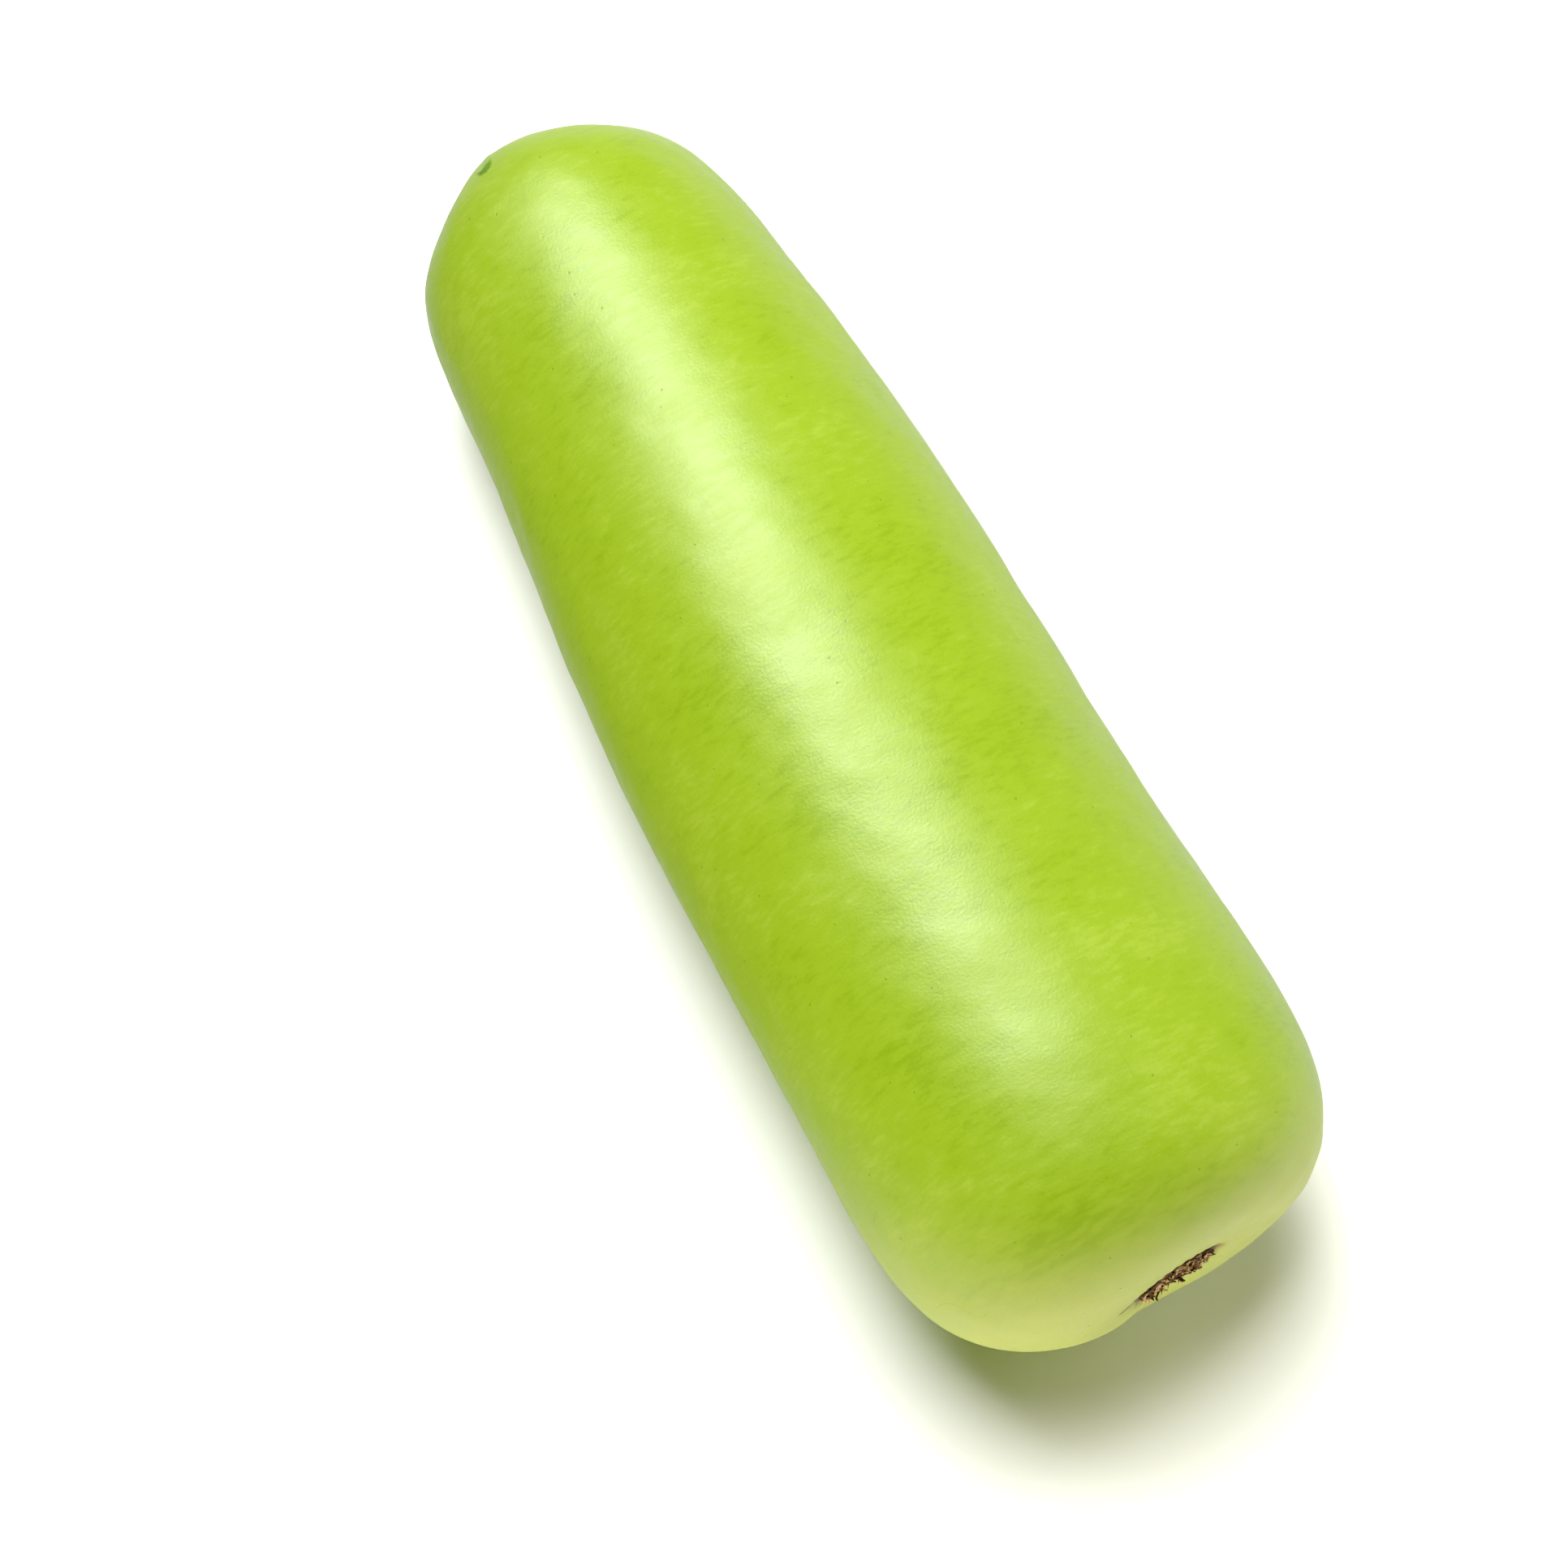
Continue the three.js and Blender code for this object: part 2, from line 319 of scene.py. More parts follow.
def strand_mesh(name, paths, widths, sides, facing=ASKEW, flatness=1.0):
    """Many thin tapered strands as one mesh.

    paths is strands x steps x 3 and widths is strands x steps. Each step carries a ring of points
    at its width, square to the path, and each strand ends in one point at either end. The rings
    are squeezed to the flatness in the direction that they face.
    """
    strands, steps = widths.shape
    tangents = unit(np.gradient(paths, axis=1))
    aside = unit(np.cross(tangents, np.array(facing)))
    upright = np.cross(tangents, aside)
    turn = turns(sides)[None, None, :, None]
    spokes = aside[:, :, None] * np.cos(turn) + upright[:, :, None] * flatness * np.sin(turn)
    rings = paths[:, :, None] + widths[:, :, None, None] * spokes
    tips = paths[:, [0, -1]]
    vertices = np.concatenate([rings.reshape(strands, -1, 3), tips], axis=1)
    per_strand = steps * sides + 2
    k = np.arange(sides)
    following = (k + 1) % sides
    near = sides * np.arange(steps - 1)[:, None]
    first = np.stack([near + k, near + following, near + sides + following], axis=-1).reshape(-1, 3)
    second = np.stack([near + k, near + sides + following, near + sides + k], axis=-1).reshape(-1, 3)
    last = sides * (steps - 1)
    root_cap = np.stack([np.full_like(k, steps * sides), following, k], axis=-1)
    tip_cap = np.stack([np.full_like(k, steps * sides + 1), last + k, last + following], axis=-1)
    one = np.concatenate([first, second, root_cap, tip_cap])
    faces = (one[None] + per_strand * np.arange(strands)[:, None, None]).reshape(-1, 3)
    return smooth_mesh(name, vertices.reshape(-1, 3), faces.tolist())


def paint(mesh, name, grid):
    """Stores a grid of values as a named attribute of the mesh's points."""
    layer = mesh.attributes.new(name, "FLOAT", "POINT")
    layer.data.foreach_set("value", ring_order(grid).astype(np.float32))


def add_piece(name, mesh, material, replaces=None):
    """Puts a mesh in the scene as a piece that rides on the fruit's body."""
    mesh.validate()
    mesh.materials.append(material)
    piece = bpy.data.objects.new(name, mesh)
    bpy.context.scene.collection.objects.link(piece)
    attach(piece, BODY)
    if replaces:
        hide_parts(replaces)
    return piece


# ---------------- shader helpers


# Sockets of a Mix node that mixes colours.
MIX_SHARE = 0
MIX_FIRST = 6
MIX_SECOND = 7
MIX_RESULT = 2


def add_node(tree, kind, inputs=None, **settings):
    """A new shader node, with its settings, and each input given a value or a link."""
    node = tree.nodes.new("ShaderNode" + kind)
    for key, value in settings.items():
        setattr(node, key, value)
    for key, value in (inputs or {}).items():
        socket = node.inputs[key]
        if isinstance(value, bpy.types.NodeSocket):
            tree.links.new(value, socket)
        else:
            socket.default_value = value
    return node


def mixed(tree, share, first, second):
    """The colour first, changed to second by share. Either may be a link or three values."""
    first, second = (c if isinstance(c, bpy.types.NodeSocket) else (*c, 1.0) for c in (first, second))
    inputs = {MIX_SHARE: share, MIX_FIRST: first, MIX_SECOND: second}
    return add_node(tree, "Mix", inputs, data_type="RGBA").outputs[MIX_RESULT]


def covered(tree, colour, layers):
    """The colour, covered by each layer's colour in turn, by that layer's share."""
    for share, cover in layers:
        colour = mixed(tree, share, colour, cover)
    return colour


def math_node(tree, operation, first, second=0.0):
    """The result of a sum, product or other operation on one or two values."""
    return add_node(tree, "Math", {0: first, 1: second}, operation=operation).outputs[0]


def times(tree, first, second):
    """The product of two values."""
    return math_node(tree, "MULTIPLY", first, second)


def scaled_onto(tree, value, factor, base, **settings):
    """The base plus the value times the factor."""
    inputs = {0: value, 1: factor, 2: base}
    return add_node(tree, "Math", inputs, operation="MULTIPLY_ADD", **settings).outputs[0]


def weighed(tree, layers):
    """Sum of the layers, each times its own weight."""
    total = 0.0
    for value, weight in layers:
        total = scaled_onto(tree, value, weight, total)
    return total


def ranged(tree, value, low, high, to_low=0.0, to_high=1.0):
    """The value moved from one range to another, with a smooth rise and clamped ends."""
    inputs = {"Value": value, "From Min": low, "From Max": high, "To Min": to_low, "To Max": to_high}
    return add_node(tree, "MapRange", inputs, interpolation_type="SMOOTHSTEP").outputs[0]


def attribute(tree, name):
    """The values that were painted on the mesh under a name."""
    return add_node(tree, "Attribute", attribute_name=name).outputs["Fac"]


def painted(tree, name, low, high, to_high=1.0):
    """The painted values under a name: 0 below low and to_high above high."""
    return ranged(tree, attribute(tree, name), low, high, 0.0, to_high)


def object_place(tree):
    """Object coordinates, centred on the fruit by a Mapping node."""
    place = add_node(tree, "TexCoord").outputs["Object"]
    to_middle = (0.0, 0.0, -(CAD_BOX[1].z - CAD_BOX[0].z) / 2)
    return add_node(tree, "Mapping", {"Vector": place, "Location": to_middle}).outputs[0]


def new_group(name, inputs, outputs):
    """An empty node group with float or vector inputs and float outputs."""
    group = bpy.data.node_groups.new(name, "ShaderNodeTree")
    for label, default in inputs.items():
        kind = "NodeSocketVector" if default is None else "NodeSocketFloat"
        socket = group.interface.new_socket(label, in_out="INPUT", socket_type=kind)
        if default is not None:
            socket.default_value = default
    for label in outputs:
        group.interface.new_socket(label, in_out="OUTPUT", socket_type="NodeSocketFloat")
    entry = group.nodes.new("NodeGroupInput")
    leave = group.nodes.new("NodeGroupOutput")
    return group, entry.outputs, leave.inputs


def grain_group():
    """Noise that may be drawn out round the girth: places are scaled by Along on X and Round on Y, Z."""
    name = "drawn grain"
    if name in bpy.data.node_groups:
        return bpy.data.node_groups[name]
    inputs = {"Place": None, "Along": 100.0, "Round": 100.0, "Detail": 3.0, "Contrast": 1.0}
    group, given, out = new_group(name, inputs, ["Value"])
    scale = add_node(group, "CombineXYZ", {"X": given["Along"], "Y": given["Round"], "Z": given["Round"]})
    inputs = {0: given["Place"], 1: scale.outputs[0]}
    place = add_node(group, "VectorMath", inputs, operation="MULTIPLY").outputs[0]
    noise = add_node(group, "TexNoise", {"Vector": place, "Scale": 1.0, "Detail": given["Detail"]})
    centred = math_node(group, "SUBTRACT", noise.outputs["Fac"], 0.5)
    stronger = times(group, centred, given["Contrast"])
    value = add_node(group, "Math", {0: stronger, 1: 0.5}, operation="ADD", use_clamp=True)
    group.links.new(value.outputs[0], out["Value"])
    return group


def put_group(tree, group, inputs):
    """Puts a node group in a material with that material's own values. Gives the group's output."""
    node = tree.nodes.new("ShaderNodeGroup")
    node.node_tree = group
    tree.links.new(inputs.pop("Place"), node.inputs["Place"])
    for label, value in inputs.items():
        node.inputs[label].default_value = value
    return node.outputs[0]


def grain(tree, place, along, around, detail, contrast):
    """Noise round 0.5, with its own fineness along the fruit and round it."""
    inputs = {"Place": place, "Along": along, "Round": around, "Detail": detail, "Contrast": contrast}
    return put_group(tree, grain_group(), inputs)


def specks_group():
    """Scattered round specks: 1 inside a speck. Size is the share of a cell's width, and a cell keeps
    its speck only where its own random value is under Share."""
    name = "specks"
    if name in bpy.data.node_groups:
        return bpy.data.node_groups[name]
    inputs = {"Place": None, "Scale": 300.0, "Size": 0.1, "Share": 0.5}
    group, given, out = new_group(name, inputs, ["Mask"])
    cells = add_node(group, "TexVoronoi", {"Vector": given["Place"], "Scale": given["Scale"]})
    random = add_node(group, "SeparateColor", {"Color": cells.outputs["Color"]}).outputs[0]
    kept = math_node(group, "LESS_THAN", random, given["Share"])
    size = times(group, given["Size"], 0.4)
    inside = ranged(group, cells.outputs["Distance"], size, given["Size"], 1.0, 0.0)
    group.links.new(times(group, kept, inside), out["Mask"])
    return group


def specks(tree, place, scale, size, share):
    """Scattered round specks, one at most in each cell of a division by scale."""
    inputs = {"Place": place, "Scale": scale, "Size": size, "Share": share}
    return put_group(tree, specks_group(), inputs)


def new_material(name):
    """A new material, its tree, and its surface shader, which is linked to the output."""
    material = bpy.data.materials.new(name)
    material.use_nodes = True
    tree = material.node_tree
    tree.nodes.clear()
    output = tree.nodes.new("ShaderNodeOutputMaterial")
    shader = tree.nodes.new("ShaderNodeBsdfPrincipled")
    tree.links.new(shader.outputs[0], output.inputs[0])
    return material, tree, shader


def coat(tree, shader, colour, rough, height=None, depth=0.0):
    """Gives the surface its colour, its roughness, and a bump of height 0 to 1 times the depth."""
    tree.links.new(colour, shader.inputs["Base Color"])
    tree.links.new(rough, shader.inputs["Roughness"])
    if height is not None:
        bumped = add_node(tree, "Bump", {"Height": height, "Distance": depth}).outputs[0]
        tree.links.new(bumped, shader.inputs["Normal"])


# ---------------- settings


KINDS = {
    "angle": (FloatProperty, {"subtype": "ANGLE"}),
    "colour": (FloatVectorProperty, {"subtype": "COLOR", "size": 3, "min": 0.0, "max": 1.0}),
    "count": (IntProperty, {"min": 3}),
    "length": (FloatProperty, {"subtype": "DISTANCE", "unit": "LENGTH", "min": 0.0}),
    "place": (FloatVectorProperty, {"subtype": "XYZ", "unit": "LENGTH", "size": 3}),
    "power": (FloatProperty, {"unit": "POWER", "min": 0.0}),
    "share": (FloatProperty, {"subtype": "FACTOR", "min": 0.0, "max": 1.0}),
}


def setting(kind, name, description, default):
    """A property of one of the kinds above."""
    make, options = KINDS[kind]
    return make(name=name, description=description, default=default, **options)


class GourdSkinSettings(PropertyGroup):
    rings: setting("count", "Rings", "Rings of the skin's grid from end to end", 430)
    around: setting("count", "Around", "Points round each ring of the skin", 216)
    unevenness: setting("length", "Unevenness", "Height of the skin's small lumps", 0.22 * MM)
    green: setting("colour", "Green", "Main green of the skin", (0.2023, 0.3017, 0.008))
    deep: setting("colour", "Deep green", "Darker green of its streaks", (0.17, 0.2661, 0.004))
    # This green also paints the glint in the nick's bend.
    pale: setting("colour", "Pale green", "Lighter green of its streaks", (0.2365, 0.33, 0.022))
    blossom_pale: setting("colour", "Blossom end", "Paler skin at the blossom end", (0.4185, 0.4604, 0.13))
    # This brown also paints the shadow of the rolled lip round the scar.
    stain: setting("colour", "Stain", "Brown stain of the skin next to the scar", (0.22, 0.11, 0.035))
    roughness: setting("share", "Roughness", "Roughness of the waxy skin", 0.42)


class GourdStemSettings(PropertyGroup):
    radius: setting("length", "Radius", "Radius of the stem at its cut", 4.9 * MM)
    length: setting("length", "Length", "Length from the floor of the funnel to the cut", 10.5 * MM)
    foot: setting("length", "Foot", "Radius of the spreading foot", 7.2 * MM)
    ridge: setting("length", "Ridge", "Height of the rounded ridges", 0.55 * MM)
    ridges: setting("count", "Ridges", "Number of rounded ridges", 5)
    lean: setting("length", "Lean", "Sideways lean of the cut", 1.2 * MM)
    hollow: setting("length", "Hollow", "How far the middle of the cut sinks", 0.7 * MM)
    hairs: setting("count", "Hairs", "Number of fine hairs", 520)
    green: setting("colour", "Green", "Green of the stem's ridges", (0.22, 0.33, 0.06))
    dark: setting("colour", "Dark green", "Green of the grooves between the ridges", (0.07, 0.16, 0.015))
    cork: setting("colour", "Cut face", "Dry tan face of the cut", (0.62, 0.45, 0.29))
    brown: setting("colour", "Brown", "Brown rim and pits of the cut", (0.17, 0.075, 0.03))
    hair: setting("colour", "Hair", "Pale green-white hairs", (0.7, 0.76, 0.5))


class GourdScarSettings(PropertyGroup):
    radius: setting("length", "Radius", "Mean radius of the corky scar", 9.2 * MM)
    thickness: setting("length", "Thickness", "Thickness of the cork at its rim", 0.35 * MM)
    rim: setting("length", "Rim", "Height of the raised rim", 0.15 * MM)
    ragged: setting("length", "Ragged", "How far the edge wanders in and out", 0.45 * MM)
    hollow: setting("length", "Hollow", "How far the middle sinks", 0.5 * MM)
    flakes: setting("count", "Flakes", "Number of dry flakes on the cork", 170)
    fibres: setting("count", "Fibres", "Number of curled fibres round the rim", 46)
    dark: setting("colour", "Dark brown", "Dark brown of the cork", (0.03, 0.011, 0.004))
    brown: setting("colour", "Brown", "Middle brown of the cork", (0.15, 0.06, 0.018))
    tan: setting("colour", "Tan", "Tan of the flakes", (0.88, 0.58, 0.31))


class GourdStageSettings(PropertyGroup):
    azimuth: setting("angle", "Azimuth", "Turn of the camera round the gourd", math.radians(60.656))
    elevation: setting("angle", "Elevation", "Height of the camera's direction", math.radians(74.91))
    distance: setting("length", "Distance", "Distance of the camera from its aim", 1.06253)
    view_angle: setting("angle", "View angle", "Angle that the camera takes in", math.radians(18))
    aim: setting("place", "Aim", "Point that the camera looks at", (8.85 * MM, -17.15 * MM, 50 * MM))
    floor: setting("colour", "Floor", "Plain pale floor", (0.9, 0.9, 0.9))
    reflected: setting("share", "Floor in the gloss", "Share of the floor that the skin reflects", 0.62)
    shaded: setting("colour", "Shaded floor", "Floor that the gourd's left side sees", (0.25, 0.34, 0.05))
    ambient: setting("colour", "Ambient light", "Colour of the weak light from all round", (0.86, 1.0, 0.3))
    backdrop: setting("colour", "Backdrop", "Pale colour behind the floor's edge", (1.0, 1.0, 1.0))
    sky: setting("share", "Surroundings", "Brightness of the weak light from all round", 0.035)
    key: setting("power", "Overhead light", "Power of the large soft light overhead", 35.5)
    sheen: setting("power", "Sheen light", "Power of the light that shows in the gloss alone", 37.5)
    side: setting("power", "Side light", "Power of the weak light at the right", 21.0)
    low: setting("power", "Low light", "Power of the weak light low at the left", 5.6)
    front: setting("power", "Front light", "Power of the weak light low at the blossom end", 2.2)


# ---------------- skin

LUMPS = ((0.6, 22 * MM, 3), (0.4, 9 * MM, 4))  # share of the height, size and seed of each layer
PUCKER = {"count": 34, "height": 0.1 * MM, "radius": 12.5 * MM, "width": 3.2 * MM}
FUNNEL_FOLDS = {"count": 10, "height": 0.22 * MM, "radius": 9.5 * MM, "width": 5.5 * MM}
ROLLED_EDGE = {"height": 0.5 * MM, "radius": 10.9 * MM, "width": 1.0 * MM}

# The crack that runs out of the scar, narrowing to its tip.
CRACK = {
    "direction": 160,
    "start": 8.6 * MM,
    "end": 16.5 * MM,
    "fade": 1.2 * MM,
    "half_width": 1.7 * MM,
    "tip": 0.25 * MM,
    "bend": 0.7 * MM,
    "depth": 0.25 * MM,
}

# The hooked nick in the stem end's shoulder. The width is that of its bump and the edge is where its
# dark mask ends, both in its own distance. Its spot, a paler patch painted as a glint, is a share of
# the half length along the nick, a length outward and a radius. Only the skin below "nearest" on the
# X axis can carry it.
NICK = {
    "direction": 106.1,
    "radius": 28.9 * MM,
    "half_length": 2.0 * MM,
    "half_width": 1.35 * MM,
    "bow": 1.2 * MM,
    "depth": 0.3 * MM,
    "width": 0.8,
    "edge": (0.9, 1.5),
    "spot": (0.5, -0.3 * MM, 0.7 * MM),
    "nearest": -0.11,
    "fade": 10 * MM,
    "far": 10.0,
}

# The fold that curves out of the funnel and ends at the nick. Its inside is painted darker green
# as painted shade.
GROOVE = {
    "from": {"radius": 9 * MM, "direction": 88},
    "to": {"radius": 27.5 * MM, "direction": 105},
    "half_width": 1.1 * MM,
    "depth": 0.2 * MM,
}

# Colour of the skin by place. The pale blossom end is paler skin that fades with the distance from
# its middle. It reaches further along the fruit's two sides, most on the left, as painted light, and
# less far over the top and the underside, as painted shade. A brown ring and a smear lie round the
# scar, and the ring darkens on the upper left as painted shadow of the rolled lip. The skin is dark
# under the cork and at its edge as painted shadow, and deeper green into the funnel as painted shade.
BLOSSOM_PALE_AND_PAINTED_LIGHT = {"start": 14 * MM, "end": 66 * MM, "sides": 0.16, "left": 0.1}
# The brown ring is partly stain and partly painted shadow of the rolled lip, strongest on the upper left.
BROWN_RING_AND_SHADOW = {"radius": 10.3 * MM, "width": 1.3 * MM, "direction": 135, "half_angle": 0.6}
SMEAR = {"radius": 11.6 * MM, "width": 2.2 * MM, "direction": 4, "half_angle": 0.25}
# Painted shadow: the skin is dark under the cork and in the gap at its edge.
UNDER_CORK = {"outer": 10.5 * MM, "inner": 9.7 * MM}
# Painted shade: deeper green into the funnel's hollow.
FUNNEL_SHADE = {"outer": 20 * MM, "inner": 8 * MM}
PORE_GREEN = (0.07, 0.14, 0.008)
# Painted shade inside the fold that runs out of the funnel.
FOLD_PAINTED_SHADE = (0.12, 0.24, 0.003)
NICK_GREEN = (0.075, 0.165, 0.0)
# Painted shadow at the cork's edge, and the dark line of the crack.
SHADOW_AND_CRACK_BROWN = (0.09, 0.036, 0.012)

# How light goes through the waxy skin.
SKIN_DEPTH = {
    "IOR": 1.5,
    "Subsurface Weight": 0.12,
    "Subsurface Radius": (1.0, 1.0, 0.25),
    "Subsurface Scale": 3.0 * MM,
}


def groove_mask(radius, turn):
    """1 in the middle of the fold that curves out of the funnel, as run^1.5, and ends at the nick."""
    start, end = GROOVE["from"], GROOVE["to"]
    run = (radius - start["radius"]) / (end["radius"] - start["radius"])
    direction = start["direction"] + (end["direction"] - start["direction"]) * np.clip(run, 0, 1) ** 1.5
    aside = radius * turn_between(turn, direction)
    window = smooth_step(-0.1, 0.15, run) * smooth_step(1.12, 0.98, run)
    return window * bump(aside, GROOVE["half_width"] * (1.4 - 0.5 * np.clip(run, 0, 1)))


def crack_share(radius, turn):
    """1 in the crack that runs out of the scar and 0 off it. Its middle bends as the square of its
    run, and its half width falls to that of its tip as the square of what is left of the run."""
    run = np.clip((radius - CRACK["start"]) / (CRACK["end"] - CRACK["start"]), 0, 1)
    aside = radius * turn_between(turn, CRACK["direction"]) - CRACK["bend"] * run**2
    width = CRACK["tip"] + (CRACK["half_width"] - CRACK["tip"]) * (1 - run) ** 2
    ended = smooth_step(CRACK["end"], CRACK["end"] - CRACK["fade"], radius)
    return ended * smooth_step(width, 0.4 * width, np.abs(aside))


def nick_plane():
    """The nick's middle on the laid skin, and the directions round the end and outward from there."""
    turn = math.radians(NICK["direction"])
    middle = lay(end_point(1, NICK["radius"], turn))
    beside = lay(end_point(1, NICK["radius"], turn + 0.01)) - middle
    outside = lay(end_point(1, NICK["radius"] + 0.1 * MM, turn)) - middle
    return middle, unit(beside), unit(outside)


def nick_distance(points):
    """Distance from the middle of the hooked nick on the stem end's shoulder, where 1 is its edge.

    It is the fourth root of run^4 + aside^4. The nick's middle line, which aside is measured from,
    bows outward as 1 - run^2. Away from the stem end the distance is far.
    """
    middle, beside, outside = nick_plane()
    run = (points - middle) @ beside / NICK["half_length"]
    aside = (points - middle) @ outside - NICK["bow"] * (1 - run**2)
    distance = np.sqrt(np.hypot(run**2, (aside / NICK["half_width"]) ** 2))
    return np.where(points[..., 0] < NICK["nearest"], distance, NICK["far"])


def skin_details(points, t, fullness, turn, settings):
    """Small heights on the skin: lumps all over, puckers round the scar, folds in the funnel."""
    at_blossom = t < 0
    radius = bernstein(GIRTH, (t + 1) / 2) * fullness
    lumps = sum(share * drift(points, size, seed) for share, size, seed in LUMPS)
    height = settings.unevenness * lumps * smooth_step(0.1, 0.5, fullness)
    wobble = 1.5 * drift(points, 12 * MM, seed=5)
    pleats = []
    for folds in (PUCKER, FUNNEL_FOLDS):
        wave = np.cos(folds["count"] * turn + wobble)
        pleats.append(folds["height"] * wave * bump(radius - folds["radius"], folds["width"]))
    toward_top = 0.75 + 0.25 * np.sin(turn)
    rolled = ROLLED_EDGE["height"] * bump(radius - ROLLED_EDGE["radius"], ROLLED_EDGE["width"])
    crack = CRACK["depth"] * crack_share(radius, turn)
    groove = GROOVE["depth"] * groove_mask(radius, turn)
    nick = NICK["depth"] * bump(nick_distance(lay(points)), NICK["width"])
    blossom_height = pleats[0] + rolled * toward_top - crack
    return height + choose(at_blossom, blossom_height, pleats[1] - np.maximum(groove, nick)), radius


def skin_mesh(settings):
    """The fruit's skin: the grown shape, moved out along its normals by the small heights."""
    t, fullness, turn = skin_grid(settings.rings, settings.around)
    bare = skin_point(t, fullness, turn)
    height, radius = skin_details(bare, t, fullness, turn, settings)
    points = lay(bare + grid_normals(bare) * height[..., None])
    points[..., 2] = np.maximum(points[..., 2], 0.0)
    mesh = closed_grid_mesh("gourd_skin", points)
    at_blossom = t < 0
    uneven = drift(bare, 3 * MM, seed=8)
    # Brown ring round the scar: partly stain, and partly painted shadow of the rolled lip, strongest on the
    # upper left.
    ring = bump(radius - BROWN_RING_AND_SHADOW["radius"], BROWN_RING_AND_SHADOW["width"])
    brown_ring_and_shadow = ring * (0.7 + 0.3 * uneven + 0.5 * sector(turn, BROWN_RING_AND_SHADOW))
    smear = bump(radius - SMEAR["radius"], SMEAR["width"]) * sector(turn, SMEAR)
    stain = brown_ring_and_shadow + smear * (0.25 + 0.3 * uneven)
    # Painted shadow under the cork and in the gap at its edge.
    cork_edge_shadow = smooth_step(UNDER_CORK["outer"], UNDER_CORK["inner"], radius)
    # The pale end's reach is weighted by direction: further on the left as painted light, and less far over
    # the top and the underside as painted shade.
    from_pole = np.linalg.norm(bare - bare[0, 0], axis=-1)
    from_pole = from_pole * (
        1 + BLOSSOM_PALE_AND_PAINTED_LIGHT["left"] * np.cos(turn) - BLOSSOM_PALE_AND_PAINTED_LIGHT["sides"] * np.cos(2 * turn)
    )
    # Painted shade into the funnel.
    funnel = smooth_step(FUNNEL_SHADE["outer"], FUNNEL_SHADE["inner"], radius)
    # Dark: the painted shadow at the cork's edge, and the dark line of the crack.
    dark = np.maximum(cork_edge_shadow, crack_share(radius, turn))
    paint(mesh, "blossom", smooth_step(BLOSSOM_PALE_AND_PAINTED_LIGHT["end"], BLOSSOM_PALE_AND_PAINTED_LIGHT["start"], from_pole))
    paint(mesh, "stain", choose(at_blossom, np.clip(stain, 0, 1), 0.0))
    paint(mesh, "dark", choose(at_blossom, dark, 0.0))
    paint(mesh, "funnel", choose(at_blossom, 0.0, funnel))
    paint(mesh, "groove", choose(at_blossom, 0.0, groove_mask(radius, turn)))
    return mesh


def skin_material(settings):
    """Waxy green skin: fine streaks drawn out round the girth, mottling, pores and hairline marks."""
    material, tree, shader = new_material("waxy green skin")
    place = object_place(tree)
    streaks = grain(tree, place, 1100.0, 260.0, 3.0, 1.6)
    flecks = grain(tree, place, 520.0, 170.0, 2.0, 1.8)
    patches = grain(tree, place, 42.0, 30.0, 2.0, 1.8)
    grit = grain(tree, place, 1700.0, 1400.0, 3.0, 1.6)
    tone = weighed(tree, ((streaks, 0.3), (flecks, 0.22), (patches, 0.33), (grit, 0.15)))
    blossom = weighed(tree, ((attribute(tree, "blossom"), 1.0), (patches, 0.12), (flecks, 0.08)))
    pores = specks(tree, place, 210.0, 0.075, 0.75)
    pale_dots = specks(tree, place, 330.0, 0.11, 0.3)
    nick, nick_painted_glint = nick_masks(tree, grit)
    layers = (
        (ranged(tree, tone, 0.25, 0.5), settings.green),
        (ranged(tree, tone, 0.5, 0.75), settings.pale),
        (ranged(tree, blossom, 0.1, 1.05, 0.0, 0.92), settings.blossom_pale),
        # painted shade deeper into the funnel
        (painted(tree, "funnel", 0.1, 1.0, 0.55), settings.deep),
        (times(tree, pores, 0.6), PORE_GREEN),
        (times(tree, pale_dots, 0.3), settings.pale),
        (times(tree, hairline_marks(tree, place), 0.3), settings.deep),
        # brown stain round the scar, with painted shadow of the rolled lip on the upper left
        (painted(tree, "stain", 0.05, 0.9), settings.stain),
        # painted shadow at the cork's edge, and the dark crack
        (attribute(tree, "dark"), SHADOW_AND_CRACK_BROWN),
        # painted shade inside the fold
        (painted(tree, "groove", 0.15, 1.0, 0.6), FOLD_PAINTED_SHADE),
        (nick, NICK_GREEN),
        # painted glint: a paler spot in the nick's bend
        (nick_painted_glint, settings.pale),
    )
    colour = covered(tree, settings.deep, layers)
    wax = weighed(tree, ((flecks, 0.4), (patches, 0.6)))
    rough = ranged(tree, wax, 0.2, 0.8, settings.roughness - 0.05, settings.roughness + 0.07)
    rough = scaled_onto(tree, nick, 0.5, rough, use_clamp=True)
    height = weighed(tree, ((streaks, 0.06), (grit, 0.7), (pores, -0.8)))
    coat(tree, shader, colour, rough, height, 0.05 * MM)
    for label, value in SKIN_DEPTH.items():
        shader.inputs[label].default_value = value
    return material


def seen_from(tree, point, directions):
    """Distances of the shaded place from a point, along each of two directions."""
    place = add_node(tree, "TexCoord").outputs["Object"]
    offset = add_node(tree, "VectorMath", {0: place, 1: tuple(point)}, operation="SUBTRACT").outputs[0]
    inputs = [{0: offset, 1: tuple(direction)} for direction in directions]
    products = [add_node(tree, "VectorMath", given, operation="DOT_PRODUCT") for given in inputs]
    return [product.outputs["Value"] for product in products]


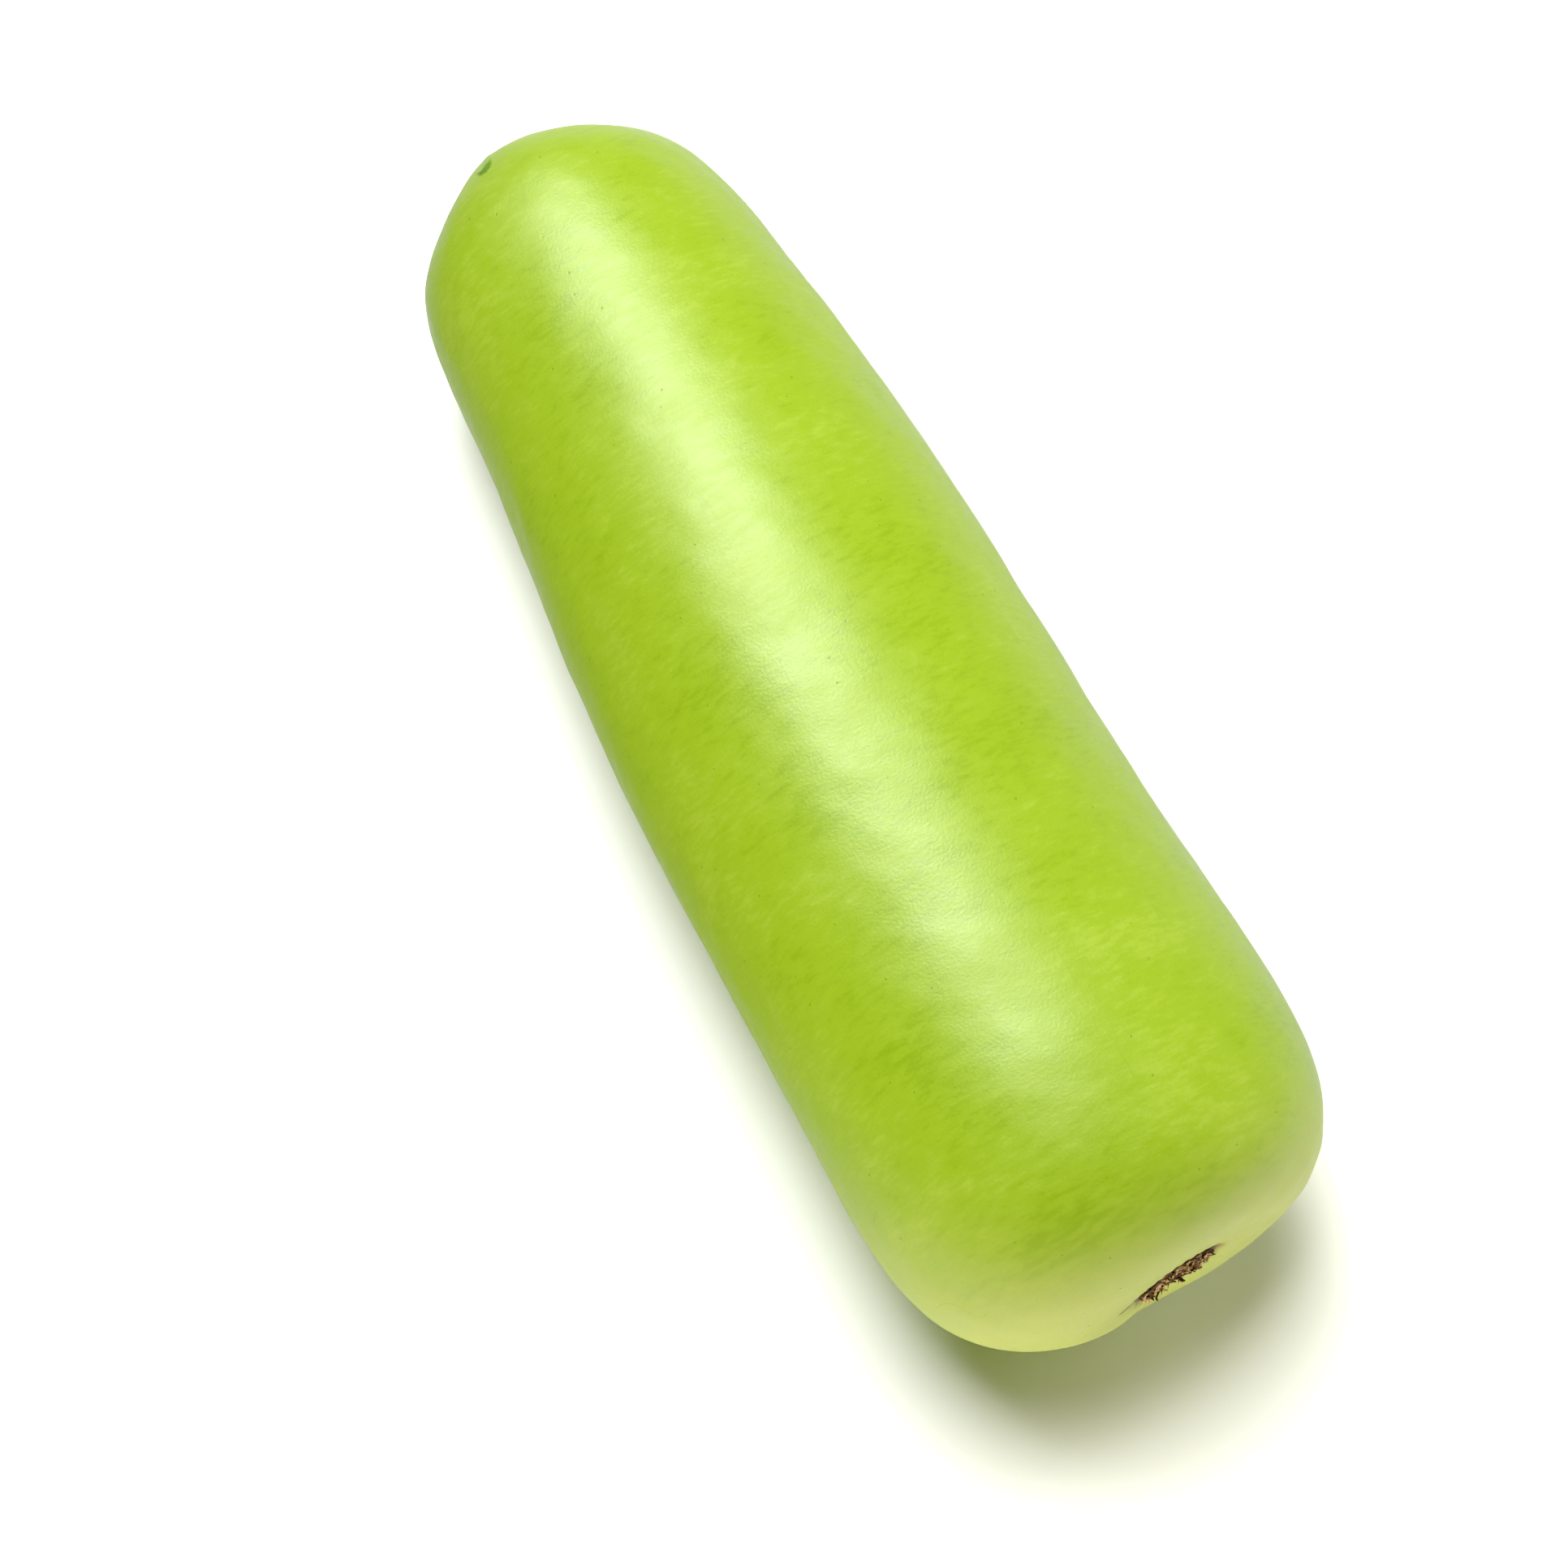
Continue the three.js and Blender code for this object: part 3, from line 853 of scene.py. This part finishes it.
def nick_masks(tree, grit):
    """The dark hooked nick in the stem end's shoulder, and the paler spot in its bend, a painted glint."""
    middle, *directions = nick_plane()
    along, outward = seen_from(tree, middle, directions)
    run = math_node(tree, "DIVIDE", along, NICK["half_length"])
    bowed = times(tree, times(tree, run, run), NICK["bow"])
    aside = math_node(tree, "ADD", math_node(tree, "SUBTRACT", outward, NICK["bow"]), bowed)
    aside = math_node(tree, "DIVIDE", aside, NICK["half_width"])
    squares = [times(tree, part, part) for part in (run, aside)]
    distance = math_node(tree, "SQRT", length_of(tree, *squares), 0.0)
    spot_run, spot_outward, spot_radius = NICK["spot"]
    to_spot = math_node(tree, "SUBTRACT", along, spot_run * NICK["half_length"])
    # Distance from the middle of the painted glint.
    spot = length_of(tree, to_spot, math_node(tree, "SUBTRACT", outward, spot_outward))
    uneven = weighed(tree, ((distance, 1.0), (grit, 0.4)))
    nick = times(tree, ranged(tree, uneven, *NICK["edge"], 1.0, 0.0), at_stem_end(tree))
    return nick, ranged(tree, spot, 0.5 * spot_radius, spot_radius, 0.9, 0.0)


def length_of(tree, x, y):
    """Length of the flat vector with these two parts."""
    vector = add_node(tree, "CombineXYZ", {"X": x, "Y": y}).outputs[0]
    return add_node(tree, "VectorMath", {0: vector}, operation="LENGTH").outputs["Value"]


def at_stem_end(tree):
    """1 on the stem's end of the fruit, where the nick lies, fading out towards the middle."""
    place = add_node(tree, "TexCoord").outputs["Object"]
    along = add_node(tree, "SeparateXYZ", {0: place}).outputs["X"]
    return ranged(tree, along, NICK["nearest"], NICK["nearest"] + NICK["fade"], 1.0, 0.0)


def hairline_marks(tree, place):
    """Thin lines where a slow noise crosses its middle value, kept only in a few places."""
    slow = grain(tree, place, 4.0, 90.0, 1.0, 1.0)
    away = math_node(tree, "ABSOLUTE", math_node(tree, "SUBTRACT", slow, 0.5))
    line = ranged(tree, away, 0.002, 0.006, 1.0, 0.0)
    kept = ranged(tree, grain(tree, place, 45.0, 60.0, 1.0, 2.5), 0.8, 0.9)
    return times(tree, line, kept)


class GOURD_OT_grow_skin(Operator):
    """Build the skin of the whole fruit, from its blossom pit to its stem funnel"""

    bl_idname = "gourd.grow_skin"
    bl_label = "Grow Skin"
    bl_options = {"REGISTER", "UNDO"}

    def execute(self, context):
        settings = context.scene.gourd_skin
        mesh = skin_mesh(settings)
        add_piece("gourd_skin", mesh, skin_material(settings), "gourd_fruit")
        return {"FINISHED"}


# ---------------- stem

STEM_AROUND = 180
STEM_FLOOR_SHARES = (0.0, 0.3, 0.6, 0.85)
STEM_SIDE_RINGS = 60
STEM_CUT_RINGS = 34
CHEWED = {"height": 0.35 * MM, "size": 2.6 * MM, "seed": 23}  # slow unevenness of the cut and its rim
CUT_PITS = 0.2 * MM
BARK_LINES = 0.05 * MM
CORK_TAN = (0.4, 0.25, 0.14)
CORK_PALE = (0.75, 0.6, 0.44)


def stem_ridged(turn, settings):
    """Share by which the radius grows on a ridge: rounded main ridges with finer ones on them."""
    fine = 0.12 * np.cos(3 * settings.ridges * turn + 0.8) + 0.05 * np.cos(37 * turn)
    return 1 + settings.ridge / settings.radius * (np.cos(settings.ridges * turn) + fine)


def stem_floor(radius, turn, settings):
    """Underside of the stem: the funnel's floor, one gap out from the skin."""
    points = end_point(1, radius * stem_ridged(turn, settings), turn)
    points[..., 0] -= GAP
    return points


def stem_side(height, radius, turn, settings):
    """The stem at a height from 0 at its foot to 1 at its cut: straight up, closing in from the foot
    to the stem's own radius as 1 - (1 - height)^3."""
    foot = stem_floor(settings.foot, turn, settings)
    base = end_point(1, 0.0, 0.0)
    reach = radius * stem_ridged(turn, settings)
    top = (
        base[0] - settings.length,
        base[1] + settings.lean + reach * np.cos(turn),
        base[2] + reach * np.sin(turn),
    )
    sideways = 1 - (1 - height) ** 3
    x = foot[..., 0] + (top[0] - foot[..., 0]) * height
    y = foot[..., 1] + (top[1] - foot[..., 1]) * sideways
    z = foot[..., 2] + (top[2] - foot[..., 2]) * sideways
    return np.stack(np.broadcast_arrays(x, y, z), axis=-1)


def chewed(points):
    """Slow unevenness of the cut face and its rim, in metres."""
    return CHEWED["height"] * drift(points, CHEWED["size"], CHEWED["seed"])


def stem_cut(turn, settings):
    """The cut face, from its rim to its middle: it sinks to its hollow, with pits and slow waves.
    Gives its points, its pits and how far each ring is out, from 1 at the rim to 0."""
    inward = np.linspace(1, 0, STEM_CUT_RINGS)[:, None] ** 0.8
    cut = stem_side(1.0, settings.radius * 0.97 * inward, turn, settings)
    cut[..., 0] += settings.hollow * (1 - inward)
    pits = drift(cut, 1.1 * MM, seed=21) + 0.7 * drift(cut, 0.55 * MM, seed=22)
    cut[..., 0] += (CUT_PITS * pits + chewed(cut)) * smooth_step(0.0, 0.2, inward)
    return cut[1:], pits[1:], inward[1:]


def stem_bark(height, turn, settings):
    """The ridged side, moved out from the stem's axis by fine lines that run lengthwise."""
    side = stem_side(height, settings.radius, turn, settings)
    lines = BARK_LINES * drift(side * np.array([0.15, 1, 1]), 0.8 * MM, seed=24)
    foot = end_point(1, 0.0, 0.0)
    outward = side - np.array([0, foot[1] + settings.lean, foot[2]])
    outward[..., 0] = 0
    side = side + unit(outward) * (lines * smooth_step(0.02, 0.15, height))[..., None]
    side[..., 0] += smooth_step(0.93, 1.0, height) * chewed(side)
    return side


def stem_mesh(settings):
    """The cut stem: rings over its underside, up its ridged side and in over its pitted cut."""
    turn = turns(STEM_AROUND)[None, :]
    floor = stem_floor(np.array(STEM_FLOOR_SHARES)[:, None] * settings.foot, turn, settings)
    height = (np.linspace(0, 1, STEM_SIDE_RINGS) ** 1.3)[:, None]
    side = stem_bark(height, turn, settings)
    cut, pits, inward = stem_cut(turn, settings)
    mesh = closed_grid_mesh("cut_stem", lay(np.concatenate([floor, side, cut])))
    ridge = 0.5 + 0.5 * np.cos(settings.ridges * turn)
    masks = {
        "cut": (smooth_step(0.96, 1.0, height), 1.0),
        "ridge": (ridge, 1.0),
        "brown": (smooth_step(0.72, 1.0, height), smooth_step(0.72, 0.97, inward)),
        "pit": (0.0, 0.5 * pits),
    }
    for name, (on_side, on_cut) in masks.items():
        parts = ((floor, 0.0), (side, on_side), (cut, on_cut))
        paint(mesh, name, np.concatenate([np.broadcast_to(v, part.shape[:2]) for part, v in parts]))
    return mesh


def stem_material(settings):
    """Green ridged stem with lengthwise streaks, and a dry tan cut with brown pits and rim."""
    material, tree, shader = new_material("cut stem")
    place = object_place(tree)
    lengthwise = grain(tree, place, 120.0, 2300.0, 2.0, 2.2)
    mottle = grain(tree, place, 700.0, 700.0, 3.0, 2.0)
    fine = grain(tree, place, 3200.0, 3200.0, 2.0, 2.0)
    green_share = math_node(tree, "ADD", times(tree, attribute(tree, "ridge"), 0.55), lengthwise)
    stained = times(tree, attribute(tree, "brown"), mottle)
    rim = times(tree, attribute(tree, "brown"), ranged(tree, mottle, 0.1, 0.7))
    side_layers = (
        (ranged(tree, green_share, 0.3, 1.2), settings.green),
        (ranged(tree, fine, 0.6, 0.95, 0.0, 0.35), settings.hair),
        (ranged(tree, stained, 0.25, 0.7), settings.brown),
    )
    cut_layers = (
        (ranged(tree, mottle, 0.25, 0.8), CORK_TAN),
        (ranged(tree, fine, 0.2, 0.8, 0.0, 0.6), CORK_PALE),
        (painted(tree, "pit", 0.15, 0.6), settings.brown),
        (rim, settings.brown),
    )
    green = covered(tree, settings.dark, side_layers)
    colour = mixed(tree, attribute(tree, "cut"), green, covered(tree, settings.cork, cut_layers))
    height = math_node(tree, "ADD", times(tree, lengthwise, 0.6), fine)
    coat(tree, shader, colour, ranged(tree, mottle, 0.0, 1.0, 0.62, 0.86), height, 0.12 * MM)
    return material


def hair_mesh(settings):
    """Fine hairs on the stem's side: short tapered strands that stand out, and bend to the cut as
    the square of their run."""
    rng = np.random.default_rng(31)
    count = settings.hairs
    height = rng.uniform(0.12, 0.9, count)
    turn = rng.uniform(0, FULL_TURN, count)
    outward = spoke(turn)
    root = stem_side(height, settings.radius, turn, settings) - 0.06 * MM * outward
    lean = np.array([-0.45, 0.0, 0.0]) + 0.35 * rng.normal(size=(count, 3))
    length = rng.uniform(0.35, 0.95, count)[EACH] * MM
    step = np.linspace(-0.12, 1, 5)[None, :, None]
    bend = lean[:, None] * np.maximum(step, 0) ** 2
    paths = root[:, None] + length * (outward[:, None] * step + bend)
    thick = rng.uniform(0.7, 1.3, count)[:, None] * 0.03 * MM
    return strand_mesh("stem_hairs", lay(paths), thick * np.linspace(1, 0.15, 5), 3)


def hair_material(settings):
    """Pale hairs, a little lighter and darker from one to the next."""
    material, tree, shader = new_material("pale stem hair")
    shade = grain(tree, object_place(tree), 900.0, 900.0, 1.0, 2.0)
    darker = tuple(0.65 * c for c in settings.hair)
    tree.links.new(mixed(tree, shade, settings.hair, darker), shader.inputs["Base Color"])
    shader.inputs["Roughness"].default_value = 0.6
    return material


class GOURD_OT_grow_stem(Operator):
    """Build the short cut stem that stands in the funnel, and its fine hairs"""

    bl_idname = "gourd.grow_stem"
    bl_label = "Grow Stem"
    bl_options = {"REGISTER", "UNDO"}

    def execute(self, context):
        settings = context.scene.gourd_stem
        add_piece("cut_stem", stem_mesh(settings), stem_material(settings), "stem_stub")
        add_piece("stem_hairs", hair_mesh(settings), hair_material(settings))
        return {"FINISHED"}


# ---------------- blossom scar

SCAR_AROUND = 240
SCAR_TOP_RINGS = 90
SCAR_UNDER_SHARES = (1.0, 0.97, 0.8, 0.55, 0.3, 0.0)
SCAR_CRUMBS = 0.35 * MM
FLAKE_FLATNESS = 0.28


def scar_edge(turn, settings):
    """Radius of the scar in each direction: a circle with slow and quick waves."""
    slow = np.sin(5 * turn + 0.7) + 0.6 * np.sin(8 * turn + 2.9)
    quick = 0.7 * np.sin(13 * turn + 1.3) + 0.5 * np.sin(21 * turn)
    return settings.radius + settings.ragged / 2 * (slow + quick)


def scar_under(share, turn, settings):
    """Underside of the scar: the pit's floor, one gap out from the skin."""
    points = end_point(-1, share * scar_edge(turn, settings), turn)
    points[..., 0] += GAP
    return points


def scar_top(share, turn, settings):
    """Bare top of the scar: its underside raised by the thickness, the rim and the hollow."""
    points = scar_under(share, turn, settings)
    rim = settings.rim * bump(share - 0.9, 0.12) * (1 + 0.4 * np.sin(9 * turn + 1))
    points[..., 0] += settings.thickness - settings.hollow * (1 - share) + rim
    return points


def crumbled(points):
    """Rough dry cork, about -1 to 1: sharp folds, which are 1 - 2 |noise|, with finer crumbs on them."""
    folds = 1 - 2 * np.abs(drift(points, 3.0 * MM, seed=41))
    small = 1 - 2 * np.abs(drift(points, 1.2 * MM, seed=42))
    crumbs = drift(points, 0.6 * MM, seed=43)
    return 0.5 * folds + 0.32 * small + 0.18 * crumbs


def scar_mesh(settings):
    """The scar: rings from its middle over its crumbled top to its edge, and back underneath."""
    turn = turns(SCAR_AROUND)[None, :]
    share = np.linspace(0, 1, SCAR_TOP_RINGS)[:-1, None]
    top = scar_top(share, turn, settings)
    rough = crumbled(top)
    top[..., 0] += SCAR_CRUMBS * rough * smooth_step(1.0, 0.93, share)
    under = scar_under(np.array(SCAR_UNDER_SHARES)[:, None], turn, settings)
    mesh = closed_grid_mesh("scar_cork", lay(np.concatenate([top, under])))
    below = np.zeros(under.shape[:2])
    rim = np.broadcast_to(smooth_step(0.72, 0.95, share), rough.shape)
    paint(mesh, "height", np.concatenate([rough, below - 1]))
    paint(mesh, "rim", np.concatenate([rim, below]))
    return mesh


def scar_material(settings):
    """Dry cork: dark brown in its hollows and at its rim, with tan flakes on its folds."""
    material, tree, shader = new_material("scar cork")
    place = object_place(tree)
    crumbs = grain(tree, place, 1500.0, 1500.0, 4.0, 2.2)
    flakes = grain(tree, place, 2200.0, 550.0, 3.0, 2.4)
    on_folds = painted(tree, "height", -0.1, 0.7)
    layers = (
        (ranged(tree, crumbs, 0.25, 0.8), settings.brown),
        (times(tree, on_folds, ranged(tree, flakes, 0.35, 0.8)), settings.tan),
        (times(tree, attribute(tree, "rim"), 0.65), settings.dark),
    )
    colour = covered(tree, settings.dark, layers)
    relief = math_node(tree, "ADD", crumbs, flakes)
    coat(tree, shader, colour, ranged(tree, crumbs, 0.0, 1.0, 0.7, 0.95), relief, 0.15 * MM)
    return material


def flake_mesh(settings):
    """Dry scales that lie on the cork like shingles: flat leaf-shaped strands in all directions,
    each bent sideways and curled up as the square of its run."""
    rng = np.random.default_rng(51)
    count = settings.flakes
    share = np.sqrt(rng.uniform(0.02, 0.84, count))
    turn = rng.uniform(0, FULL_TURN, count)
    middle = scar_top(share, turn, settings)
    heading = rng.uniform(0, FULL_TURN, count)
    flat = spoke(heading)
    side = np.cross(TO_BLOSSOM, flat)
    length = rng.uniform(0.7, 1.7, count)[EACH] * MM
    run = np.linspace(-1, 1, 9)
    step = run[None, :, None]
    bend = rng.normal(0, 0.25, count)[EACH]
    slope = rng.normal(0, 0.35, count)[EACH]
    curl = rng.uniform(-0.1, 0.5, count)[EACH]
    rise = 0.35 * MM + length * (slope * step + curl * step**2)
    paths = middle[:, None] + length * (flat[:, None] * step + side[:, None] * bend * step**2)
    paths = paths + TO_BLOSSOM * np.maximum(rise, 0.05 * MM)
    leaf = np.sqrt(1.02 - run**2) * (1 + 0.25 * np.sin(9 * run))
    widths = rng.uniform(0.28, 0.65, count)[:, None] * MM * leaf
    return strand_mesh("scar_flakes", lay(paths), widths, 8, TO_BLOSSOM, FLAKE_FLATNESS)


# Long curled fibres that stand out of the rim: direction, share of the radius, length, how far they
# go out from the face, out from the middle and round it for each unit of length, hook and width.
TUFTS = (
    (243, 0.88, 3.7 * MM, 0.8, 0.1, -0.55, 0.25, 0.26 * MM),
    (250, 0.90, 2.4 * MM, 0.6, 0.5, 0.5, 0.25, 0.26 * MM),
    (226, 0.93, 2.6 * MM, 0.45, 0.2, -0.8, 0.25, 0.26 * MM),
    (281, 0.95, 2.0 * MM, 0.75, 0.5, 0.2, 0.25, 0.26 * MM),
    (318, 0.95, 1.5 * MM, 0.7, 0.6, -0.3, 0.25, 0.26 * MM),
    (203, 0.95, 1.8 * MM, 0.3, 0.3, -0.8, 0.25, 0.26 * MM),
)


def fibre_mesh(settings):
    """Curled fibres round the scar's rim: each leaves the cork straight, waves sideways as a sine of
    its run, and hooks back to the scar as the square of its run."""
    rng = np.random.default_rng(61)
    count = settings.fibres
    drawn = (
        np.degrees(rng.uniform(0, FULL_TURN, count)),
        rng.uniform(0.82, 0.97, count),
        rng.uniform(0.5, 1.5, count) * MM,
        rng.uniform(0.2, 0.9, count),
        rng.uniform(-0.3, 0.8, count),
        rng.normal(0, 0.5, count),
        rng.uniform(0.1, 0.8, count),
        rng.uniform(0.07, 0.15, count) * MM,
    )
    direction, share, *measures, thick = np.concatenate([drawn, np.array(TUFTS).T], axis=1)
    turn = np.radians(direction)
    length, lift, out, twist, hook = (measure[EACH] for measure in measures)
    root = scar_top(share, turn, settings)
    outward = spoke(turn)
    around = np.cross(TO_BLOSSOM, outward)
    step = np.linspace(-0.15, 1, 10)[None, :, None]
    bend = hook * np.maximum(step, 0) ** 2
    paths = root[:, None] + length * (
        outward[:, None] * (out * step - 0.5 * bend)
        + around[:, None] * (twist * step + 0.12 * np.sin(5 * step + 9 * hook))
        + TO_BLOSSOM * (lift * step - bend)
    )
    taper = np.interp(np.linspace(0, 1, 10), (0, 0.25, 0.75, 1), (1.2, 0.85, 1.0, 0.3))
    return strand_mesh("scar_fibres", lay(paths), thick[:, None] * taper, 6)


def flake_material(settings):
    """Tan and brown dry flakes."""
    material, tree, shader = new_material("dry flake")
    place = object_place(tree)
    each = grain(tree, place, 420.0, 420.0, 1.0, 4.5)
    fine = grain(tree, place, 2800.0, 2800.0, 2.0, 2.0)
    tan = ranged(tree, each, 0.2, 0.8)
    dark = ranged(tree, fine, 0.35, 0.8, 0.7, 0.0)
    colour = covered(tree, settings.brown, ((tan, settings.tan), (dark, settings.dark)))
    coat(tree, shader, colour, ranged(tree, fine, 0.0, 1.0, 0.65, 0.9), fine, 0.06 * MM)
    return material


def fibre_material(settings):
    """Dark brown dry fibre."""
    material, tree, shader = new_material("dark fibre")
    shade = grain(tree, object_place(tree), 1200.0, 1200.0, 2.0, 2.0)
    colour = mixed(tree, shade, settings.dark, settings.brown)
    coat(tree, shader, colour, ranged(tree, shade, 0.0, 1.0, 0.6, 0.85))
    return material


class GOURD_OT_form_scar(Operator):
    """Build the corky plate in the pit at the blossom end"""

    bl_idname = "gourd.form_scar"
    bl_label = "Form Scar"
    bl_options = {"REGISTER", "UNDO"}

    def execute(self, context):
        settings = context.scene.gourd_scar
        add_piece("scar_cork", scar_mesh(settings), scar_material(settings), "blossom_scar")
        return {"FINISHED"}


class GOURD_OT_fray_scar(Operator):
    """Add the dry flakes and the curled fibres of the blossom scar"""

    bl_idname = "gourd.fray_scar"
    bl_label = "Fray Scar"
    bl_options = {"REGISTER", "UNDO"}

    def execute(self, context):
        settings = context.scene.gourd_scar
        add_piece("scar_flakes", flake_mesh(settings), flake_material(settings))
        add_piece("scar_fibres", fibre_mesh(settings), fibre_material(settings))
        return {"FINISHED"}


# ---------------- stage

FLOOR_RADIUS = 0.62
FLOOR_SIDES = 96
LIGHTS_AIM = (0.0, 0.0, 0.05)
SHEEN_SPIN = math.radians(26)
# Name, place, length and width, spin, colour, and whether it shows in diffuse light and in gloss.
LIGHTS = (
    ("key", (-0.41, 0.05, 1.25), (0.78, 0.78), SHEEN_SPIN, (1.0, 1.0, 1.0), True, False),
    ("sheen", (-0.68, -0.07, 1.2), (1.0, 0.9), SHEEN_SPIN, (1.0, 1.0, 1.0), False, True),
    ("side", (0.1, 1.8, 0.85), (1.5, 1.2), 0.0, (1.0, 0.97, 0.7), True, False),
    ("low", (0.4, -0.7, 0.026), (0.6, 0.04), 0.0, (1.0, 0.95, 0.5), True, False),
    ("front", (0.75, 0.25, 0.026), (0.5, 0.04), 0.0, (1.0, 0.97, 0.6), True, False),
)
# The floor beside the gourd's left: full below the first of each pair and gone above the second.
BESIDE = {"along": (0.02, 0.1), "across": (-0.09, -0.05)}
SENSOR = 36.0  # width of the camera's sensor in millimetres


def make_floor(settings):
    """A plain flat round floor, far wider than the gourd. The skin's gloss shows less of it than the
    camera does, and it gives back less light along the gourd's left side."""
    turn = turns(FLOOR_SIDES)
    rim = FLOOR_RADIUS * np.stack([np.cos(turn), np.sin(turn), 0 * turn], axis=-1)
    mesh = bpy.data.meshes.new("floor")
    mesh.from_pydata(rim.tolist(), [], [list(range(FLOOR_SIDES))])
    material, tree, shader = new_material("pale floor")
    glossy = add_node(tree, "LightPath").outputs["Is Glossy Ray"]
    reflected = tuple(settings.reflected * c for c in settings.floor)
    given = mixed(tree, glossy, settings.floor, reflected)
    place = add_node(tree, "SeparateXYZ", {0: add_node(tree, "TexCoord").outputs["Object"]})
    along = ranged(tree, place.outputs["X"], *BESIDE["along"], 1.0, 0.0)
    across = ranged(tree, place.outputs["Y"], *BESIDE["across"], 1.0, 0.0)
    given = mixed(tree, times(tree, along, across), given, settings.shaded)
    seen = add_node(tree, "LightPath").outputs["Is Camera Ray"]
    tree.links.new(mixed(tree, seen, given, settings.floor), shader.inputs["Base Color"])
    shader.inputs["Roughness"].default_value = 0.9
    shader.inputs["Specular IOR Level"].default_value = 0.1
    mesh.materials.append(material)
    floor = bpy.data.objects.new("floor", mesh)
    bpy.context.scene.collection.objects.link(floor)


def add_light(name, place, size, spin, colour, in_diffuse, in_gloss, power):
    """A soft rectangular light at a place, turned to the gourd and spun about its own axis."""
    light = bpy.data.lights.new(name, "AREA")
    light.shape = "RECTANGLE"
    light.size, light.size_y = size
    light.color = colour
    light.energy = power
    lamp = bpy.data.objects.new(name, light)
    lamp.location = place
    facing = (Vector(LIGHTS_AIM) - Vector(place)).to_track_quat("-Z", "Y")
    lamp.rotation_euler = (facing @ Quaternion((0, 0, 1), spin)).to_euler()
    lamp.visible_diffuse = in_diffuse
    lamp.visible_glossy = in_gloss
    lamp.visible_camera = False
    bpy.context.scene.collection.objects.link(lamp)


def make_camera(settings):
    """The camera, without roll, at its azimuth, elevation and distance from its aim."""
    a, e = settings.azimuth, settings.elevation
    back = Vector((math.sin(a) * math.cos(e), -math.cos(a) * math.cos(e), math.sin(e)))
    data = bpy.data.cameras.new("camera")
    data.sensor_width = SENSOR
    data.lens = SENSOR / 2 / math.tan(settings.view_angle / 2)
    camera = bpy.data.objects.new("camera", data)
    camera.location = Vector(settings.aim) + back * settings.distance
    camera.rotation_euler = (-back).to_track_quat("-Z", "Y").to_euler()
    bpy.context.scene.collection.objects.link(camera)
    bpy.context.scene.camera = camera


def make_surroundings(settings):
    """Weak even light from all round, and the plain backdrop that the camera sees."""
    world = bpy.data.worlds.new("studio")
    world.use_nodes = True
    tree = world.node_tree
    background = tree.nodes["Background"]
    seen = add_node(tree, "LightPath").outputs["Is Camera Ray"]
    lighting = tuple(settings.sky * c for c in settings.ambient)
    tree.links.new(mixed(tree, seen, lighting, settings.backdrop), background.inputs["Color"])
    background.inputs["Strength"].default_value = 1.0
    bpy.context.scene.world = world


class GOURD_OT_set_stage(Operator):
    """Set the pale floor, the soft lights and the camera"""

    bl_idname = "gourd.set_stage"
    bl_label = "Set Stage"
    bl_options = {"REGISTER", "UNDO"}

    def execute(self, context):
        settings = context.scene.gourd_stage
        make_floor(settings)
        make_surroundings(settings)
        make_camera(settings)
        for name, *rest in LIGHTS:
            add_light(name, *rest, getattr(settings, name))
        context.scene.view_settings.view_transform = "Standard"
        return {"FINISHED"}


# ---------------- panel and registration

OPERATORS = (
    GOURD_OT_grow_skin,
    GOURD_OT_grow_stem,
    GOURD_OT_form_scar,
    GOURD_OT_fray_scar,
    GOURD_OT_set_stage,
)

SETTINGS = {
    "gourd_skin": GourdSkinSettings,
    "gourd_stem": GourdStemSettings,
    "gourd_scar": GourdScarSettings,
    "gourd_stage": GourdStageSettings,
}


class VIEW3D_PT_gourd(Panel):
    """Lists the steps that finish the gourd, with their settings"""

    bl_label = "Bottle Gourd"
    bl_idname = "VIEW3D_PT_gourd"
    bl_space_type = "VIEW_3D"
    bl_region_type = "UI"
    bl_category = "Gourd"

    def draw(self, context):
        for operator in OPERATORS:
            self.layout.operator(operator.bl_idname)
        for name, group in SETTINGS.items():
            box = self.layout.box()
            for prop in group.__annotations__:
                box.prop(getattr(context.scene, name), prop)


def register():
    """Makes the settings, the operators and the panel known to Blender."""
    for group in SETTINGS.values():
        bpy.utils.register_class(group)
    for cls in (*OPERATORS, VIEW3D_PT_gourd):
        bpy.utils.register_class(cls)
    for name, group in SETTINGS.items():
        setattr(bpy.types.Scene, name, PointerProperty(type=group))


def unregister():
    """Takes away what register added."""
    for name in SETTINGS:
        delattr(bpy.types.Scene, name)
    for cls in (VIEW3D_PT_gourd, *reversed(OPERATORS)):
        bpy.utils.unregister_class(cls)
    for group in reversed(SETTINGS.values()):
        bpy.utils.unregister_class(group)


def main():
    """Builds every piece and the stage."""
    register()
    bpy.ops.gourd.grow_skin()
    bpy.ops.gourd.grow_stem()
    bpy.ops.gourd.form_scar()
    bpy.ops.gourd.fray_scar()
    bpy.ops.gourd.set_stage()


if __name__ == "__main__":
    main()
